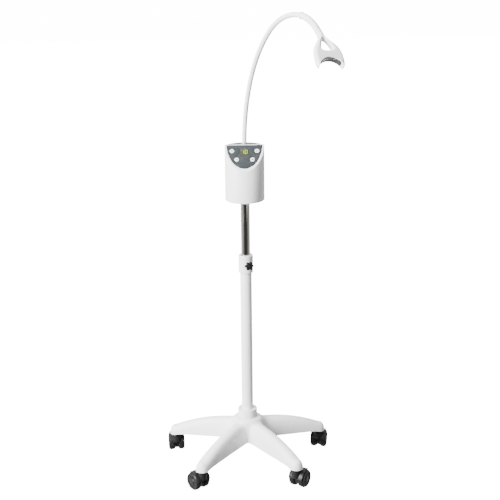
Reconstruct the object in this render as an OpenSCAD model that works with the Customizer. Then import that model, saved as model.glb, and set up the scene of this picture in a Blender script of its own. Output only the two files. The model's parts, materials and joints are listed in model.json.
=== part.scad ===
// Mobile LED whitening lamp on a five-star caster stand, in millimetres.
// The origin is on the pole axis at floor level, +Z is up and -Y is the front.

/* [Stand] */
// Distance from the pole to each caster stem
star_r = 217; // [190:1:240]
// Angle of the first leg from +X
star_turn = 19; // [0:1:71]
// Height of the caster bosses' lower faces
boss_z = 60; // [58:1:64]
// Radius of a caster boss
boss_r = 19.5; // [18.5:0.5:21]
// Radius of the arc that a leg's ridge follows
ridge_r = 450; // [420:5:480]
// Height of the ridge where the legs meet
ridge_top = 133; // [128:1:138]

/* [Pole] */
// Diameter of the outer tube
outer_d = 32; // [30:1:34]
// Diameter of the inner tube
inner_d = 25; // [24:0.5:26]
// Height of the outer tube's top
outer_top = 605.5; // [560:0.5:640]
// Diameter of the lock collar
collar_d = 40; // [38:1:44]
// Direction of the lock knob, from the front towards +X
knob_turn = 19; // [0:1:60]
// Diameter of the lock knob over its lobes
knob_d = 23.5; // [22:0.5:26]

/* [Control box] */
// Radius of the control box
box_r = 53; // [50:0.5:56]
// Height of its lower face
box_z = 771; // [740:1:800]
// Height of the box up to the top of its sloping face
box_h = 151; // [140:1:160]
// Drop of the sloping face from its top edge to the front wall
face_drop = 62; // [55:1:66]
// Radius of the cylinder that bounds the grey face plate
plate_r = 48; // [46:0.5:49]
// Diameter of a button
button_d = 11.6; // [10:0.1:12]
// Width and height of the display window
display = [22.6, 20.4]; // [18:0.1:26]

/* [Gooseneck] */
// Distance of the gooseneck's root behind the pole axis
neck_y = 14; // [12:0.5:20]
// Turn of the gooseneck's plane from the front towards +X
neck_turn = 30; // [0:1:60]
// Height of the first ball joint
neck_z = 934; // [932:1:940]
// Length of each gooseneck section
section_l = 162; // [140:1:180]
// Lean of the gooseneck at its root
neck_lean = 2.5; // [0:0.5:8]
// Bend of each section
section_bend = [20, 25, 46]; // [5:1:60]
// Length and bend of the thick neck above the lamp head
boot_l = 90; // [70:1:110]
// Bend of the thick neck
boot_bend = 42; // [20:1:50]
// Outer diameter of the sleeve
sleeve_d = 12.5; // [11.8:0.1:14]
// Outer diameter of the thick neck
boot_d = 16.5; // [15:0.5:18]

/* [Lamp head] */
// Tilt, roll and turn of the lamp head
head_angles = [-48, 3.5, 19]; // [-90:0.5:90]
// Thickness of the lamp head
head_t = 18; // [17:0.5:22]
// Radius of the mouth arc
mouth_r = 31; // [28:0.5:34]
// Distance from the neck to the mouth arc's centre
mouth_v = 117; // [110:1:124]
// How far the middle of the head bows forward
head_bow = 8; // [2:0.5:12]

/* [Casters] */
// Wheel diameter
wheel_d = 50; // [48:1:52]
// Width of each of the two wheels
wheel_w = 18; // [14:0.5:19]
// Distance from the stem to the axle
trail = 20; // [16:1:22]
// Directions in which the five casters trail, first leg first
headings = [78, 85, 98, 130, 58]; // [0:1:359]

/* [Hidden] */
$fn = 64;
gap = 0.3;           // air between neighbouring pieces
fit = 0.05;          // radial clearance of a running fit
wall = 2.5;          // wall of the control box
box_top = box_z + box_h;
face_y = -3;         // top edge of the sloping face, in front of the pole axis
face_run = box_r + face_y;
face_a = atan(face_drop / face_run);
cap_z = box_top - 7; // where the grey top cap rests
cap_t = 3.2;
button_at = [[-33.2, 19], [33.2, 19], [-20.8, 44.6], [20.8, 44.6]];
display_s = 21.9;    // centre of the display below the top edge
leg_count = 5;
ridge_x = 20;        // the ridge arc's highest point, from the pole axis
ridge_z = ridge_top - ridge_r;
crest_r = 17;        // rounding of a leg's crest
skirt_w = 31;        // half width of a leg's skirt, skirt_h below the ridge
skirt_h = 65;
hub_x = 41;          // where a leg leaves the hub, and its half width there
hub_half = 28.5;
leg_wall = 3.5;
inner_bottom = 285.3;
socket_z = box_z - 8;
ball_r = 4.5;        // gooseneck ball, and the cup that holds it
cup_r = 5.7;
cup_lip = 1.2;
link_r = 2.5;
sleeve_bore = 5.85;
end_trim = 2.2;      // a sleeve's ends stop short of its ball joints
stem_r = 5.5;
stem_low = 44.5;     // the swivel stem ends above the wheels
axle_r = 3;
caster_inner = 4.7;  // from the caster's middle to a wheel's inner face
inlet_z = 800;
inlet_floor = 50.5;
head_half = head_t / 2;
bow_v = 60;          // where the head bows furthest, and the radius of the bow
bow_r = (pow(bow_v, 2) + pow(head_bow, 2)) / (2 * head_bow);
mouth_tilt = 10;     // the light unit lies in the bow's slope at the mouth
led_count = 6;

// ---- helpers

module tube(r_out, r_in, z0, z1) {
  difference() {
    translate([0, 0, z0]) cylinder(r = r_out, h = z1 - z0);
    translate([0, 0, z0 - 1]) cylinder(r = r_in, h = z1 - z0 + 2);
  }
}

module rod(r, z0, z1) {
  translate([0, 0, z0]) cylinder(r = r, h = z1 - z0);
}

// Places children at leg number k, +X along the leg
module at_leg(k) {
  rotate([0, 0, star_turn + k * 360 / leg_count]) children();
}

// Places children in the sloping face's frame: origin on its top edge, -Y down the slope, +Z out
module on_face() {
  translate([0, face_y, box_top]) rotate([face_a, 0, 0]) children();
}

// A slab parallel to the sloping face, from depth h0 to h1 and slope distance s0 to s1
module face_slab(h0, h1, s0, s1) {
  on_face() translate([-60, -s1, h0]) cube([120, s1 - s0, h1 - h0]);
}

// Radial direction of the lock screw: children's +Z points outwards
module knob_axis(z) {
  rotate([0, 0, knob_turn]) translate([0, 0, z]) rotate([90, 0, 0]) children();
}

// ---- stand

// Points along an arc
function arc_points(c, r, a0, a1, n) =
  [for (i = [0 : n]) c + r * [cos(a0 + (a1 - a0) * i / n), sin(a0 + (a1 - a0) * i / n)]];

// Arch-shaped section of a leg, set in by t: a rounded crest with a sloping skirt on each side
module leg_section(t) {
  far = norm([skirt_h - crest_r, skirt_w]);
  touch = atan2(skirt_w, crest_r - skirt_h) - acos(crest_r / far);
  polygon([[ridge_r - skirt_h, -skirt_w + t],
           each arc_points([ridge_r - crest_r, 0], crest_r - t, -touch, touch, 8),
           [ridge_r - skirt_h, skirt_w - t]]);
}

module leg_arch(t) {
  translate([ridge_x, 0, ridge_z]) rotate([90, 0, 0]) rotate([0, 0, 62])
    rotate_extrude(angle = 31, $fn = 180) leg_section(t);
}

// Plan taper of a leg between two distances from the pole
module leg_plan(x0, x1, t) {
  tip_half = boss_r - 1.2;
  half = [for (x = [x0, x1]) hub_half - t - (hub_half - tip_half) * (x - hub_x) / (star_r - hub_x)];
  linear_extrude(height = 200)
    polygon([[x0, -half[0]], [x1, -half[1]], [x1, half[1]], [x0, half[0]]]);
}

// The legs' lower edge rises towards the hub
module leg_side() {
  rotate([90, 0, 0]) translate([0, 0, -60]) linear_extrude(height = 120)
    polygon([[30, 78], [star_r + 10, boss_z + 4], [star_r + 10, 150], [30, 150]]);
}

module leg() {
  intersection() {
    leg_arch(0);
    leg_plan(hub_x, star_r - 3, 0);
    leg_side();
  }
  translate([star_r, 0, boss_z]) rotate_extrude()
    polygon([[0, 0], [boss_r, 0], each arc_points([boss_r - 14, 14], 14, 0, 90, 6), [0, 28]]);
}

module leg_hollow() {
  intersection() {
    leg_arch(leg_wall);
    leg_plan(56, star_r - boss_r - leg_wall, leg_wall);
  }
}

module star_base() {
  color("white") difference() {
    union() {
      for (k = [0 : leg_count - 1]) at_leg(k) leg();
      rotate_extrude($fn = 96) polygon([[0, 76], [50, 76], [43.5, ridge_top - 2], [40, ridge_top + 4],
                                        [30, 140.7], [0, 140.7]]);
    }
    for (k = [0 : leg_count - 1]) at_leg(k) {
      leg_hollow();
      translate([star_r, 0, 0]) rod(8 + fit, 50, boss_z + 24.5);
    }
    rod(outer_d / 2 + fit, 100, 150);
    rod(4.5, 70, 101);
    rod(38, 60, 90);
  }
}

module stem_sockets() {
  color("dimgray") for (k = [0 : leg_count - 1]) at_leg(k)
    translate([star_r, 0, 0]) tube(8, stem_r + fit, boss_z + 0.2, boss_z + 24);
}

module hub_ring() {
  color("white") difference() {
    rotate_extrude() {
      translate([0, 141]) square([25, 24]);
      translate([0, 143]) square([27, 20]);
      for (z = [143, 163]) translate([25, z]) circle(r = 2);
    }
    rod(outer_d / 2 + fit, 140, 166);
  }
}

module outer_tube() {
  color("white") difference() {
    rod(outer_d / 2, 100.2, outer_top);
    rod(14, 112, outer_top + 1);
    rod(4 + fit, 99, 113);
    knob_axis(592) rod(3.4, 10, 20);
  }
}

// Hub bolt with its washer, and the grub screw that fixes the collar to the outer tube
module stand_fasteners() {
  color("silver") {
    tube(20, 4.2, 87.4, 89.7);
    rod(4, 80, 111);
    translate([0, 0, 80]) cylinder(r = 7, h = 7.2, $fn = 6);
  }
  color("dimgray") rotate([0, 0, 12]) translate([0, 0, 576]) rotate([90, 0, 0])
    rod(2, outer_d / 2 + fit, collar_d / 2 - 0.2);
}

// ---- column lock and guides

module lock_collar() {
  color("white") difference() {
    union() {
      rotate_extrude() {
        translate([0, 569]) square([collar_d / 2, 46]);
        translate([0, 567]) square([collar_d / 2 - 2, 50]);
        for (z = [569, 615]) translate([collar_d / 2 - 2, z]) circle(r = 2);
      }
      knob_axis(592) rod(6.5, 15, collar_d / 2 + 2.5);
    }
    rod(outer_d / 2 + fit, 560, outer_top + 0.5);
    rod(inner_d / 2 + gap, 600, 620);
    knob_axis(592) rod(3 + fit, 10, 30);
    rotate([0, 0, 12]) translate([0, 0, 576]) rotate([90, 0, 0]) rod(2 + fit, 10, 30);
  }
}

module upper_bush() {
  color("whitesmoke") difference() {
    tube(14 - fit, inner_d / 2 + fit, outer_top - 45, outer_top);
    knob_axis(592) rod(3.4, 10, 20);
  }
}

module star_knob() {
  grip = knob_d / 2;
  lobe = 3.3;
  color("black") knob_axis(592) difference() {
    union() {
      rod(grip - lobe + 0.3, collar_d / 2 + 3.3, collar_d / 2 + 12.8);
      rod(6, collar_d / 2 + 3, collar_d / 2 + 13.5);
      for (k = [0 : 5]) rotate([0, 0, k * 60 + 30]) translate([grip - lobe, 0, 0])
        rod(lobe, collar_d / 2 + 3.8, collar_d / 2 + 12.3);
    }
    rod(3 + fit, collar_d / 2, collar_d / 2 + 11);
  }
}

module clamp_screw() {
  color("silver") knob_axis(592) {
    rod(3, inner_d / 2 + 1.6, collar_d / 2 + 10.8);
    rod(2.4, inner_d / 2 + 0.1, inner_d / 2 + 1.6);
  }
}

module lower_bush() {
  color("whitesmoke") difference() {
    rod(14 - fit, inner_bottom - 3.3, inner_bottom + 27);
    rod(inner_d / 2 + fit, inner_bottom - gap, inner_bottom + 28);
    rod(8, inner_bottom - 5, inner_bottom + 1);
  }
}

module inner_tube() {
  color("silver") tube(inner_d / 2, inner_d / 2 - 1.2, inner_bottom, box_z + 31.5);
}

// ---- casters

// Caster k's frame: stem on Z, the wheels trail along +X
module at_caster(k) {
  at_leg(k) translate([star_r, 0, 0]) rotate([0, 0, headings[k] - star_turn - k * 360 / leg_count])
    children();
}

module on_axle() {
  translate([trail, 0, wheel_d / 2]) rotate([90, 0, 0]) children();
}

module caster_hood(k) {
  rim = wheel_d / 2 + 1.2;
  color("black") at_caster(k) difference() {
    union() {
      intersection() {
        on_axle() rod(rim + 2.2, -caster_inner - wheel_w + 2, caster_inner + wheel_w - 2);
        translate([-30, -30, 31]) cube([trail + 42, 60, 40]);
      }
      on_axle() rod(wheel_d / 2 - 5, -caster_inner + 0.7, caster_inner - 0.7);
      rod(11, 34, boss_z - 2);
    }
    for (side = [-1, 1]) on_axle() translate([0, 0, side * (caster_inner - gap + 15)])
      cylinder(r = rim, h = 30, center = true);
    rod(stem_r + fit, stem_low - gap, 70);
    on_axle() rod(axle_r + fit, -8, 8);
  }
}

// The swivel stem and the axle
module caster_pins(k) {
  color("silver") at_caster(k) {
    rod(stem_r, stem_low, boss_z + 22);
    on_axle() rod(axle_r, -caster_inner - wheel_w + 3, caster_inner + wheel_w - 3);
  }
}

module caster_wheel(k, side) {
  half = wheel_w / 2;
  color("black") at_caster(k) on_axle() translate([0, 0, side * (caster_inner + half)])
    rotate([side > 0 ? 0 : 180, 0, 0]) difference() {
      rotate_extrude() {
        translate([0, -half]) square([wheel_d / 2 - 3, wheel_w]);
        translate([0, 3 - half]) square([wheel_d / 2, wheel_w - 6]);
        for (z = [3 - half, half - 3]) translate([wheel_d / 2 - 3, z]) circle(r = 3);
      }
      rod(axle_r + fit, -half - 1, half - 2.5);
      translate([0, 0, -half - 1]) rotate_extrude() translate([8, 0]) square([wheel_d / 2 - 13, wheel_w - 3]);
      translate([0, 0, half - 1.2]) rotate_extrude() translate([6.5, 0]) square([11.5, 2]);
    }
}

// ---- control box

module tube_socket() {
  color("white") difference() {
    union() {
      rod(box_r - wall - 0.2, box_z, box_z + 4);
      rod(16, socket_z, box_z + 34);
    }
    rod(inner_d / 2 + fit, socket_z - 1, box_z + 32);
    rod(6, box_z, box_z + 40);
    for (a = [45 : 90 : 315]) rotate([0, 0, a]) translate([box_r - 7, 0, 0]) {
      rod(1.7, box_z - 1, box_z + 5);
      rod(3.2, box_z - 1, box_z + 2.2);
    }
  }
}

module box_screws() {
  color("silver") for (a = [45 : 90 : 315]) rotate([0, 0, a]) translate([box_r - 7, 0, 0]) {
    rod(3, box_z + 0.2, box_z + 2.1);
    rod(1.45, box_z + 2.1, box_z + 12);
  }
}

// The box's outside, or its inside with t as the wall
module box_form(t) {
  difference() {
    rotate_extrude($fn = 128) {
      translate([0, box_z + 3]) square([box_r - t, box_h - 3 + (t > 0 ? 1 : 0)]);
      translate([0, box_z - (t > 0 ? 1 : 0)]) square([box_r - 3, 10]);
      if (t == 0) translate([box_r - 3, box_z + 3]) circle(r = 3);
      if (t > 0) translate([0, box_z - 1]) square([box_r - t, 10]);
    }
    face_slab(-t, 60, -40, 140);
  }
}

module housing() {
  color("white") difference() {
    union() {
      difference() {
        box_form(0);
        box_form(wall);
        translate([-60, face_y + wall / sin(face_a), cap_z]) cube([120, 70, 20]);
      }
      for (a = [45 : 90 : 315]) rotate([0, 0, a]) translate([box_r - 7, 0, 0]) rod(4.8, box_z + 4.3, box_z + 14);
      intersection() {
        translate([0, 0, inlet_z]) rotate([-90, 0, 0]) rod(11, 44, 60);
        rod(box_r - 0.5, box_z + 5, box_z + 80);
      }
    }
    for (a = [45 : 90 : 315]) rotate([0, 0, a]) translate([box_r - 7, 0, 0]) rod(1.5, box_z + 3, box_z + 13);
    translate([0, 0, inlet_z]) rotate([-90, 0, 0]) {
      rod(6 + fit, 40, 60);
      rod(8.3, inlet_floor, 60);
    }
    intersection() {
      face_slab(-0.8, 5, 1.2, 100);
      rod(plate_r + 0.2, box_z, box_top);
    }
    for (p = button_at) on_face() translate([p[0], -p[1], 0]) rod(button_d / 2 + 0.35, -6, 2);
    on_face() translate([-display[0] / 2 - 0.15, -display_s - display[1] / 2 - 0.15, -6])
      cube([display[0] + 0.3, display[1] + 0.3, 10]);
  }
}

module face_plate() {
  color("slategray") difference() {
    intersection() {
      face_slab(-0.75, 0, 1.4, 100);
      rod(plate_r, box_z, box_top);
    }
    for (p = button_at) on_face() translate([p[0], -p[1], 0]) rod(button_d / 2 + 0.35, -6, 2);
    on_face() translate([-display[0] / 2 - 0.15, -display_s - display[1] / 2 - 0.15, -6])
      cube([display[0] + 0.3, display[1] + 0.3, 10]);
  }
}

module display_window() {
  color("darkolivegreen") on_face()
    translate([-display[0] / 2, -display_s - display[1] / 2, -1.3]) cube([display[0], display[1], 1.2]);
}

module display_module() {
  color("black") on_face()
    translate([-display[0] / 2 + 0.5, -display_s - display[1] / 2 + 0.5, -8.3])
      cube([display[0] - 1, display[1] - 1, 6.6]);
}

// The board with a key switch under each button
module main_board() {
  color("darkgreen") {
    intersection() {
      face_slab(-10.2, -8.6, 12, 64);
      rod(44, box_z, box_top);
    }
    for (p = button_at) on_face() translate([p[0] - 3, -p[1] - 3, -8.6]) cube([6, 6, 3.4]);
  }
}

module button(i) {
  color("white") on_face() translate([button_at[i][0], -button_at[i][1], 0]) {
    rod(button_d / 2, -2.9, 0.4);
    rod(button_d / 2 - 0.6, 0.4, 1);
    rod(button_d / 2 + 1.2, -3.9, -2.9);
  }
}

module button_power() { button(0); }
module button_start() { button(1); }
module button_minus() { button(2); }
module button_plus() { button(3); }

module top_cap() {
  back = face_y + wall / sin(face_a) + gap;
  color("darkgray") difference() {
    intersection() {
      union() {
        rotate_extrude($fn = 128) {
          translate([0, cap_z + 0.1]) square([box_r - 1.5, cap_t]);
          translate([0, cap_z + 0.1]) square([box_r, cap_t - 1.5]);
          translate([box_r - 1.5, cap_z + cap_t - 1.4]) circle(r = 1.5);
        }
        rod(box_r - wall - gap, cap_z - 3, cap_z + 1);
      }
      translate([-60, back, cap_z - 4]) cube([120, 70, 20]);
      translate([0, 0, cap_z - 4]) cylinder(r = box_r, h = cap_t + 4.1);
    }
    translate([0, back - 1, 0]) rod(box_r - wall - 4, cap_z - 5, cap_z);
    translate([0, neck_y, 0]) rod(6, cap_z - 5, cap_z + 20);
  }
}

module power_inlet() {
  color("dimgray") translate([0, 0, inlet_z]) rotate([-90, 0, 0]) {
    difference() {
      union() {
        rod(6, 38, inlet_floor + 0.1);
        rod(8, inlet_floor + 0.1, box_r - 0.8);
      }
      rod(2.9, 42, 60);
    }
    rod(1.05, 41.5, 51);
  }
}

// ---- gooseneck

// Walks along the gooseneck in its own plane: [reach, height, heading] at the start of section i
function step_on(p, l, b) =
  let (r = l * 180 / (PI * b), a = p[2])
  [p[0] + r * (sin(a) - sin(a - b)), p[1] + r * (cos(a - b) - cos(a)), a - b];
function neck_at(i) =
  i == 0 ? [0, neck_z, 90 - neck_lean] : step_on(neck_at(i - 1), section_l, section_bend[i - 1]);
head_at = step_on(neck_at(3), boot_l, boot_bend);

module neck_plane() {
  translate([0, neck_y, 0]) rotate([0, 0, neck_turn - 90]) children();
}

// A bent rod from p, of length l and bend b, with its ends cut short
module bent_rod(p, l, b, r, cut0, cut1) {
  big = l * 180 / (PI * b);
  turn = 180 / (PI * big);
  translate([p[0] + big * sin(p[2]), 0, p[1] - big * cos(p[2])]) rotate([90, 0, 0])
    rotate([0, 0, p[2] + 90 - b + cut1 * turn])
      rotate_extrude(angle = b - (cut0 + cut1) * turn, $fn = 180) translate([big, 0]) circle(r = r, $fn = 32);
}

// Children at p with +Z along its heading
module along(p) {
  translate([p[0], 0, p[1]]) rotate([0, 90 - p[2], 0]) children();
}

module cup(p) {
  along(p) difference() {
    sphere(r = cup_r, $fn = 48);
    sphere(r = ball_r + fit, $fn = 48);
    rod(10, cup_lip, 12);
  }
}

module neck_link(i) {
  color("silver") neck_plane() {
    difference() {
      union() {
        bent_rod(neck_at(i), section_l, section_bend[i], link_r, 0, 5);
        along(neck_at(i)) sphere(r = ball_r, $fn = 48);
      }
      along(neck_at(i + 1)) sphere(r = ball_r + 0.6, $fn = 48);
    }
    cup(neck_at(i + 1));
  }
}

module neck_sleeve(i) {
  color("white") neck_plane() difference() {
    bent_rod(neck_at(i), section_l, section_bend[i], sleeve_d / 2, end_trim, end_trim);
    bent_rod(neck_at(i), section_l, section_bend[i], sleeve_bore, -1, -1);
  }
}

module neck_ferrule() {
  color("silver") neck_plane() {
    cup(neck_at(0));
    difference() {
      union() {
        rod(5.5, cap_z - 12, neck_z - 4.5);
        rod(8, cap_z + cap_t + 0.4, cap_z + cap_t + 6);
        translate([0, 0, cap_z - 9]) cylinder(r = 9, h = 5.5, $fn = 6);
      }
      rod(2.2, cap_z - 20, neck_z);
      along(neck_at(0)) sphere(r = ball_r + 0.6, $fn = 48);
    }
  }
}

module head_stem() {
  color("silver") neck_plane() {
    bent_rod(neck_at(3), boot_l, boot_bend, link_r, 0, 12);
    along(neck_at(3)) sphere(r = ball_r, $fn = 48);
  }
}

module head_boot() {
  color("white") neck_plane() difference() {
    union() {
      bent_rod(neck_at(3), boot_l, boot_bend, boot_d / 2, 3, 0);
      along(head_at) sphere(r = boot_d / 2);
    }
    bent_rod(neck_at(3), boot_l, boot_bend, sleeve_bore, -1, 11);
  }
}

// ---- lamp head: local -Z runs from the neck to the mouth, -Y is the front

module head_frame() {
  neck_plane() translate([head_at[0], 0, head_at[1]]) rotate([0, 0, 90 - neck_turn])
    rotate([0, 0, head_angles[2]]) rotate([0, head_angles[1], 0]) rotate([head_angles[0], 0, 0]) children();
}

// Half width of the head at distance v from the neck
outline = [[9, 7], [22, 11], [35, 19], [47, 27], [59, 32.5], [72, 35.5], [86, 36.5], [100, 36.2],
           [110, 35.5], [117, 33.5]];
hole = [[28, 0.5], [31, 3.4], [40, 7], [50, 10], [58, 12], [61.5, 10.5], [63.5, 6], [64, 0.5]];

// A smooth curve through a list of points
function bezier_mid(p, i, t) =
  let (a = p[max(i - 1, 0)], b = p[i], c = p[i + 1], d = p[min(i + 2, len(p) - 1)])
  0.5 * (2 * b + (c - a) * t + (2 * a - 5 * b + 4 * c - d) * t * t + (3 * b - a - 3 * c + d) * t * t * t);
function smooth(p, n) = [for (i = [0 : len(p) - 2], j = [0 : n - 1]) bezier_mid(p, i, j / n), p[len(p) - 1]];

module closed_outline(half, inset, n) {
  line = smooth(half, n);
  last = len(line) - 1;
  polygon([for (q = line) [max(q[1] - inset, 0.2), -q[0]],
           for (i = [0 : last]) [-max(line[last - i][1] - inset, 0.2), -line[last - i][0]]]);
}

// A bowed plate between two depths, measured towards the back
module head_plate(y0, y1) {
  intersection() {
    translate([0, 20, 0]) rotate([90, 0, 0]) linear_extrude(height = 60) closed_outline(outline, 0, 2);
    translate([0, bow_r - head_bow, -bow_v]) rotate([0, 90, 0]) difference() {
      cylinder(r = bow_r - y0, h = 120, center = true, $fn = 180);
      cylinder(r = bow_r - y1, h = 121, center = true, $fn = 180);
    }
  }
}

// The light unit's frame: origin at the mouth's centre, in the slope of the bow
module mouth_frame() {
  translate([0, -1, -mouth_v]) rotate([mouth_tilt, 0, 0]) children();
}

// A sector of a ring about the mouth's centre, a degrees to each side of the middle
module mouth_ring(r0, r1, half_t, a) {
  mouth_frame() rotate([90, 0, 0]) rotate([0, 0, 90 - a])
    rotate_extrude(angle = 2 * a, $fn = 96) translate([r0, -half_t]) square([r1 - r0, 2 * half_t]);
}

// Both shells together, open at the mouth, with the slot for the light unit and the arm window
module shell(y0, y1) {
  slit = 14.4;
  color("white") head_frame() difference() {
    head_plate(y0, y1);
    mouth_frame() rotate([90, 0, 0]) cylinder(r = mouth_r, h = 60, center = true, $fn = 96);
    mouth_ring(mouth_r - 1, mouth_r + 12.5, slit / 2, 56);
    translate([0, 20, 0]) rotate([90, 0, 0]) linear_extrude(height = 60) closed_outline(hole, 0, 2);
    for (x = [-1, 1]) translate([x * 26, -head_bow, -62]) rotate([-90, 0, 0]) {
      rod(1.25, -6, 20);
      rod(2.4, head_half - 2.5, 20);
    }
  }
}

module front_shell() { shell(-head_half, -0.1); }
module back_shell() { shell(0.1, head_half); }

module led_window() {
  color([0.75, 0.8, 0.85, 0.4]) head_frame() mouth_ring(mouth_r + 0.4, mouth_r + 1.6, 6.9, 54);
}

module led_board() {
  color("darkgreen") head_frame() mouth_ring(mouth_r + 6, mouth_r + 7.4, 6.7, 52);
}

// Light-emitting diodes in two rows, facing the mouth's centre
module leds() {
  color("lightyellow") head_frame() for (i = [0 : led_count - 1], y = [-3.3, 3.3])
    mouth_frame() translate([0, y, 0]) rotate([0, (i - (led_count - 1) / 2) * 17, 0]) {
      rod(2.4, mouth_r + 3.6, mouth_r + 5.8);
      translate([0, 0, mouth_r + 3.6]) sphere(r = 1.8, $fn = 32);
    }
}

module heat_sink() {
  color("silver") head_frame() mouth_ring(mouth_r + 7.6, mouth_r + 12.2, 6.7, 52);
}

module head_screws() {
  color("silver") head_frame() for (x = [-1, 1]) translate([x * 26, -head_bow, -62]) rotate([-90, 0, 0]) {
    rod(2.3, head_half - 2.2, head_half - 0.4);
    rod(1.2, -5, head_half - 2.2);
  }
}

star_base();
stem_sockets();
hub_ring();
outer_tube();
stand_fasteners();
lock_collar();
upper_bush();
star_knob();
clamp_screw();
for (k = [0 : leg_count - 1]) {
  caster_hood(k);
  caster_pins(k);
  caster_wheel(k, 1);
  caster_wheel(k, -1);
}
lower_bush();
inner_tube();
tube_socket();
housing();
face_plate();
display_window();
display_module();
main_board();
top_cap();
neck_ferrule();
power_inlet();
box_screws();
button_power();
button_start();
button_minus();
button_plus();
for (i = [0 : 2]) {
  neck_link(i);
  neck_sleeve(i);
}
head_stem();
head_boot();
front_shell();
back_shell();
led_board();
leds();
led_window();
heat_sink();
head_screws();
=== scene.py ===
import json
import math
import bmesh
import bpy
import numpy as np
from mathutils import Matrix, Vector


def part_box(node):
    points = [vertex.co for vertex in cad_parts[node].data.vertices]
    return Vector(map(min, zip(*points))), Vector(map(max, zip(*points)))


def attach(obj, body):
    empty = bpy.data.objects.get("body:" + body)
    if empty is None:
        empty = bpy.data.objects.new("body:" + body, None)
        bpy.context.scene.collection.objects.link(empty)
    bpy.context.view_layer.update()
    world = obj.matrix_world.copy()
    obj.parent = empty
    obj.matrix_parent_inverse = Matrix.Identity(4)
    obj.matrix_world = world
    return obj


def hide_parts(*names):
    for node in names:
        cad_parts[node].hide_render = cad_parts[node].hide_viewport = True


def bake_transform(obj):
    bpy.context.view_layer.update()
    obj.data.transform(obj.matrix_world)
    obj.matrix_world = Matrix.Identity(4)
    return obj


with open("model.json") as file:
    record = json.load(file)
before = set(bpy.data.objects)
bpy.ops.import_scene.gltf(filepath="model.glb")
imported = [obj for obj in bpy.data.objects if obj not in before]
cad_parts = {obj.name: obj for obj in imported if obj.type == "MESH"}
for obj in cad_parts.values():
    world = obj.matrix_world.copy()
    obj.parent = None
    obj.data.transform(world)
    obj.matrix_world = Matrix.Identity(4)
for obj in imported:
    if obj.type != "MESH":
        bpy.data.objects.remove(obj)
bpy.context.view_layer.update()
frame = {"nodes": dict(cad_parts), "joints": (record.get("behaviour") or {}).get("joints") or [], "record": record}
mm = 0.001
joints = {joint["name"]: joint for joint in frame["joints"]}

# camera

camera = {"place": (0.0, -3.0, 1.496), "down": 16.11, "turn": 0.58, "roll": -0.54,
          "lens": 82.38, "sensor": 36.0, "shiftX": -0.0136, "shiftY": 0.0}


def makeCamera(c):
    data = bpy.data.cameras.new("viewCamera")
    data.lens, data.sensor_width = c["lens"], c["sensor"]
    data.shift_x, data.shift_y = c["shiftX"], c["shiftY"]
    data.clip_end = 30
    down, turn, roll = (math.radians(c[k]) for k in ("down", "turn", "roll"))
    ahead = Vector((math.sin(turn) * math.cos(down), math.cos(turn) * math.cos(down), -math.sin(down)))
    right = ahead.cross(Vector((0, 0, 1))).normalized()
    up = right.cross(ahead)
    rightRolled = right * math.cos(roll) + up * math.sin(roll)
    upRolled = up * math.cos(roll) - right * math.sin(roll)
    matrix = Matrix((rightRolled, upRolled, -ahead)).transposed().to_4x4()
    matrix.translation = Vector(c["place"])
    ob = bpy.data.objects.new("viewCamera", data)
    ob.matrix_world = matrix
    bpy.context.scene.collection.objects.link(ob)
    bpy.context.scene.camera = ob


makeCamera(camera)

# materials


def framed(nodes, label):
    holder = nodes.new("NodeFrame")
    holder.label = label
    return holder


def spread(groups):
    row = 0
    for holder, members in groups:
        for column, node in enumerate(members):
            node.parent = holder
            node.location = (column * 220, row)
        row -= 340


def inRow(members):
    for i, node in enumerate(members):
        node.location = (i * 190, 0)


def blankMaterial(name):
    material = bpy.data.materials.new(name)
    material.use_nodes = True
    material.node_tree.nodes.clear()
    return material, material.node_tree.nodes, material.node_tree.links


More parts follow.
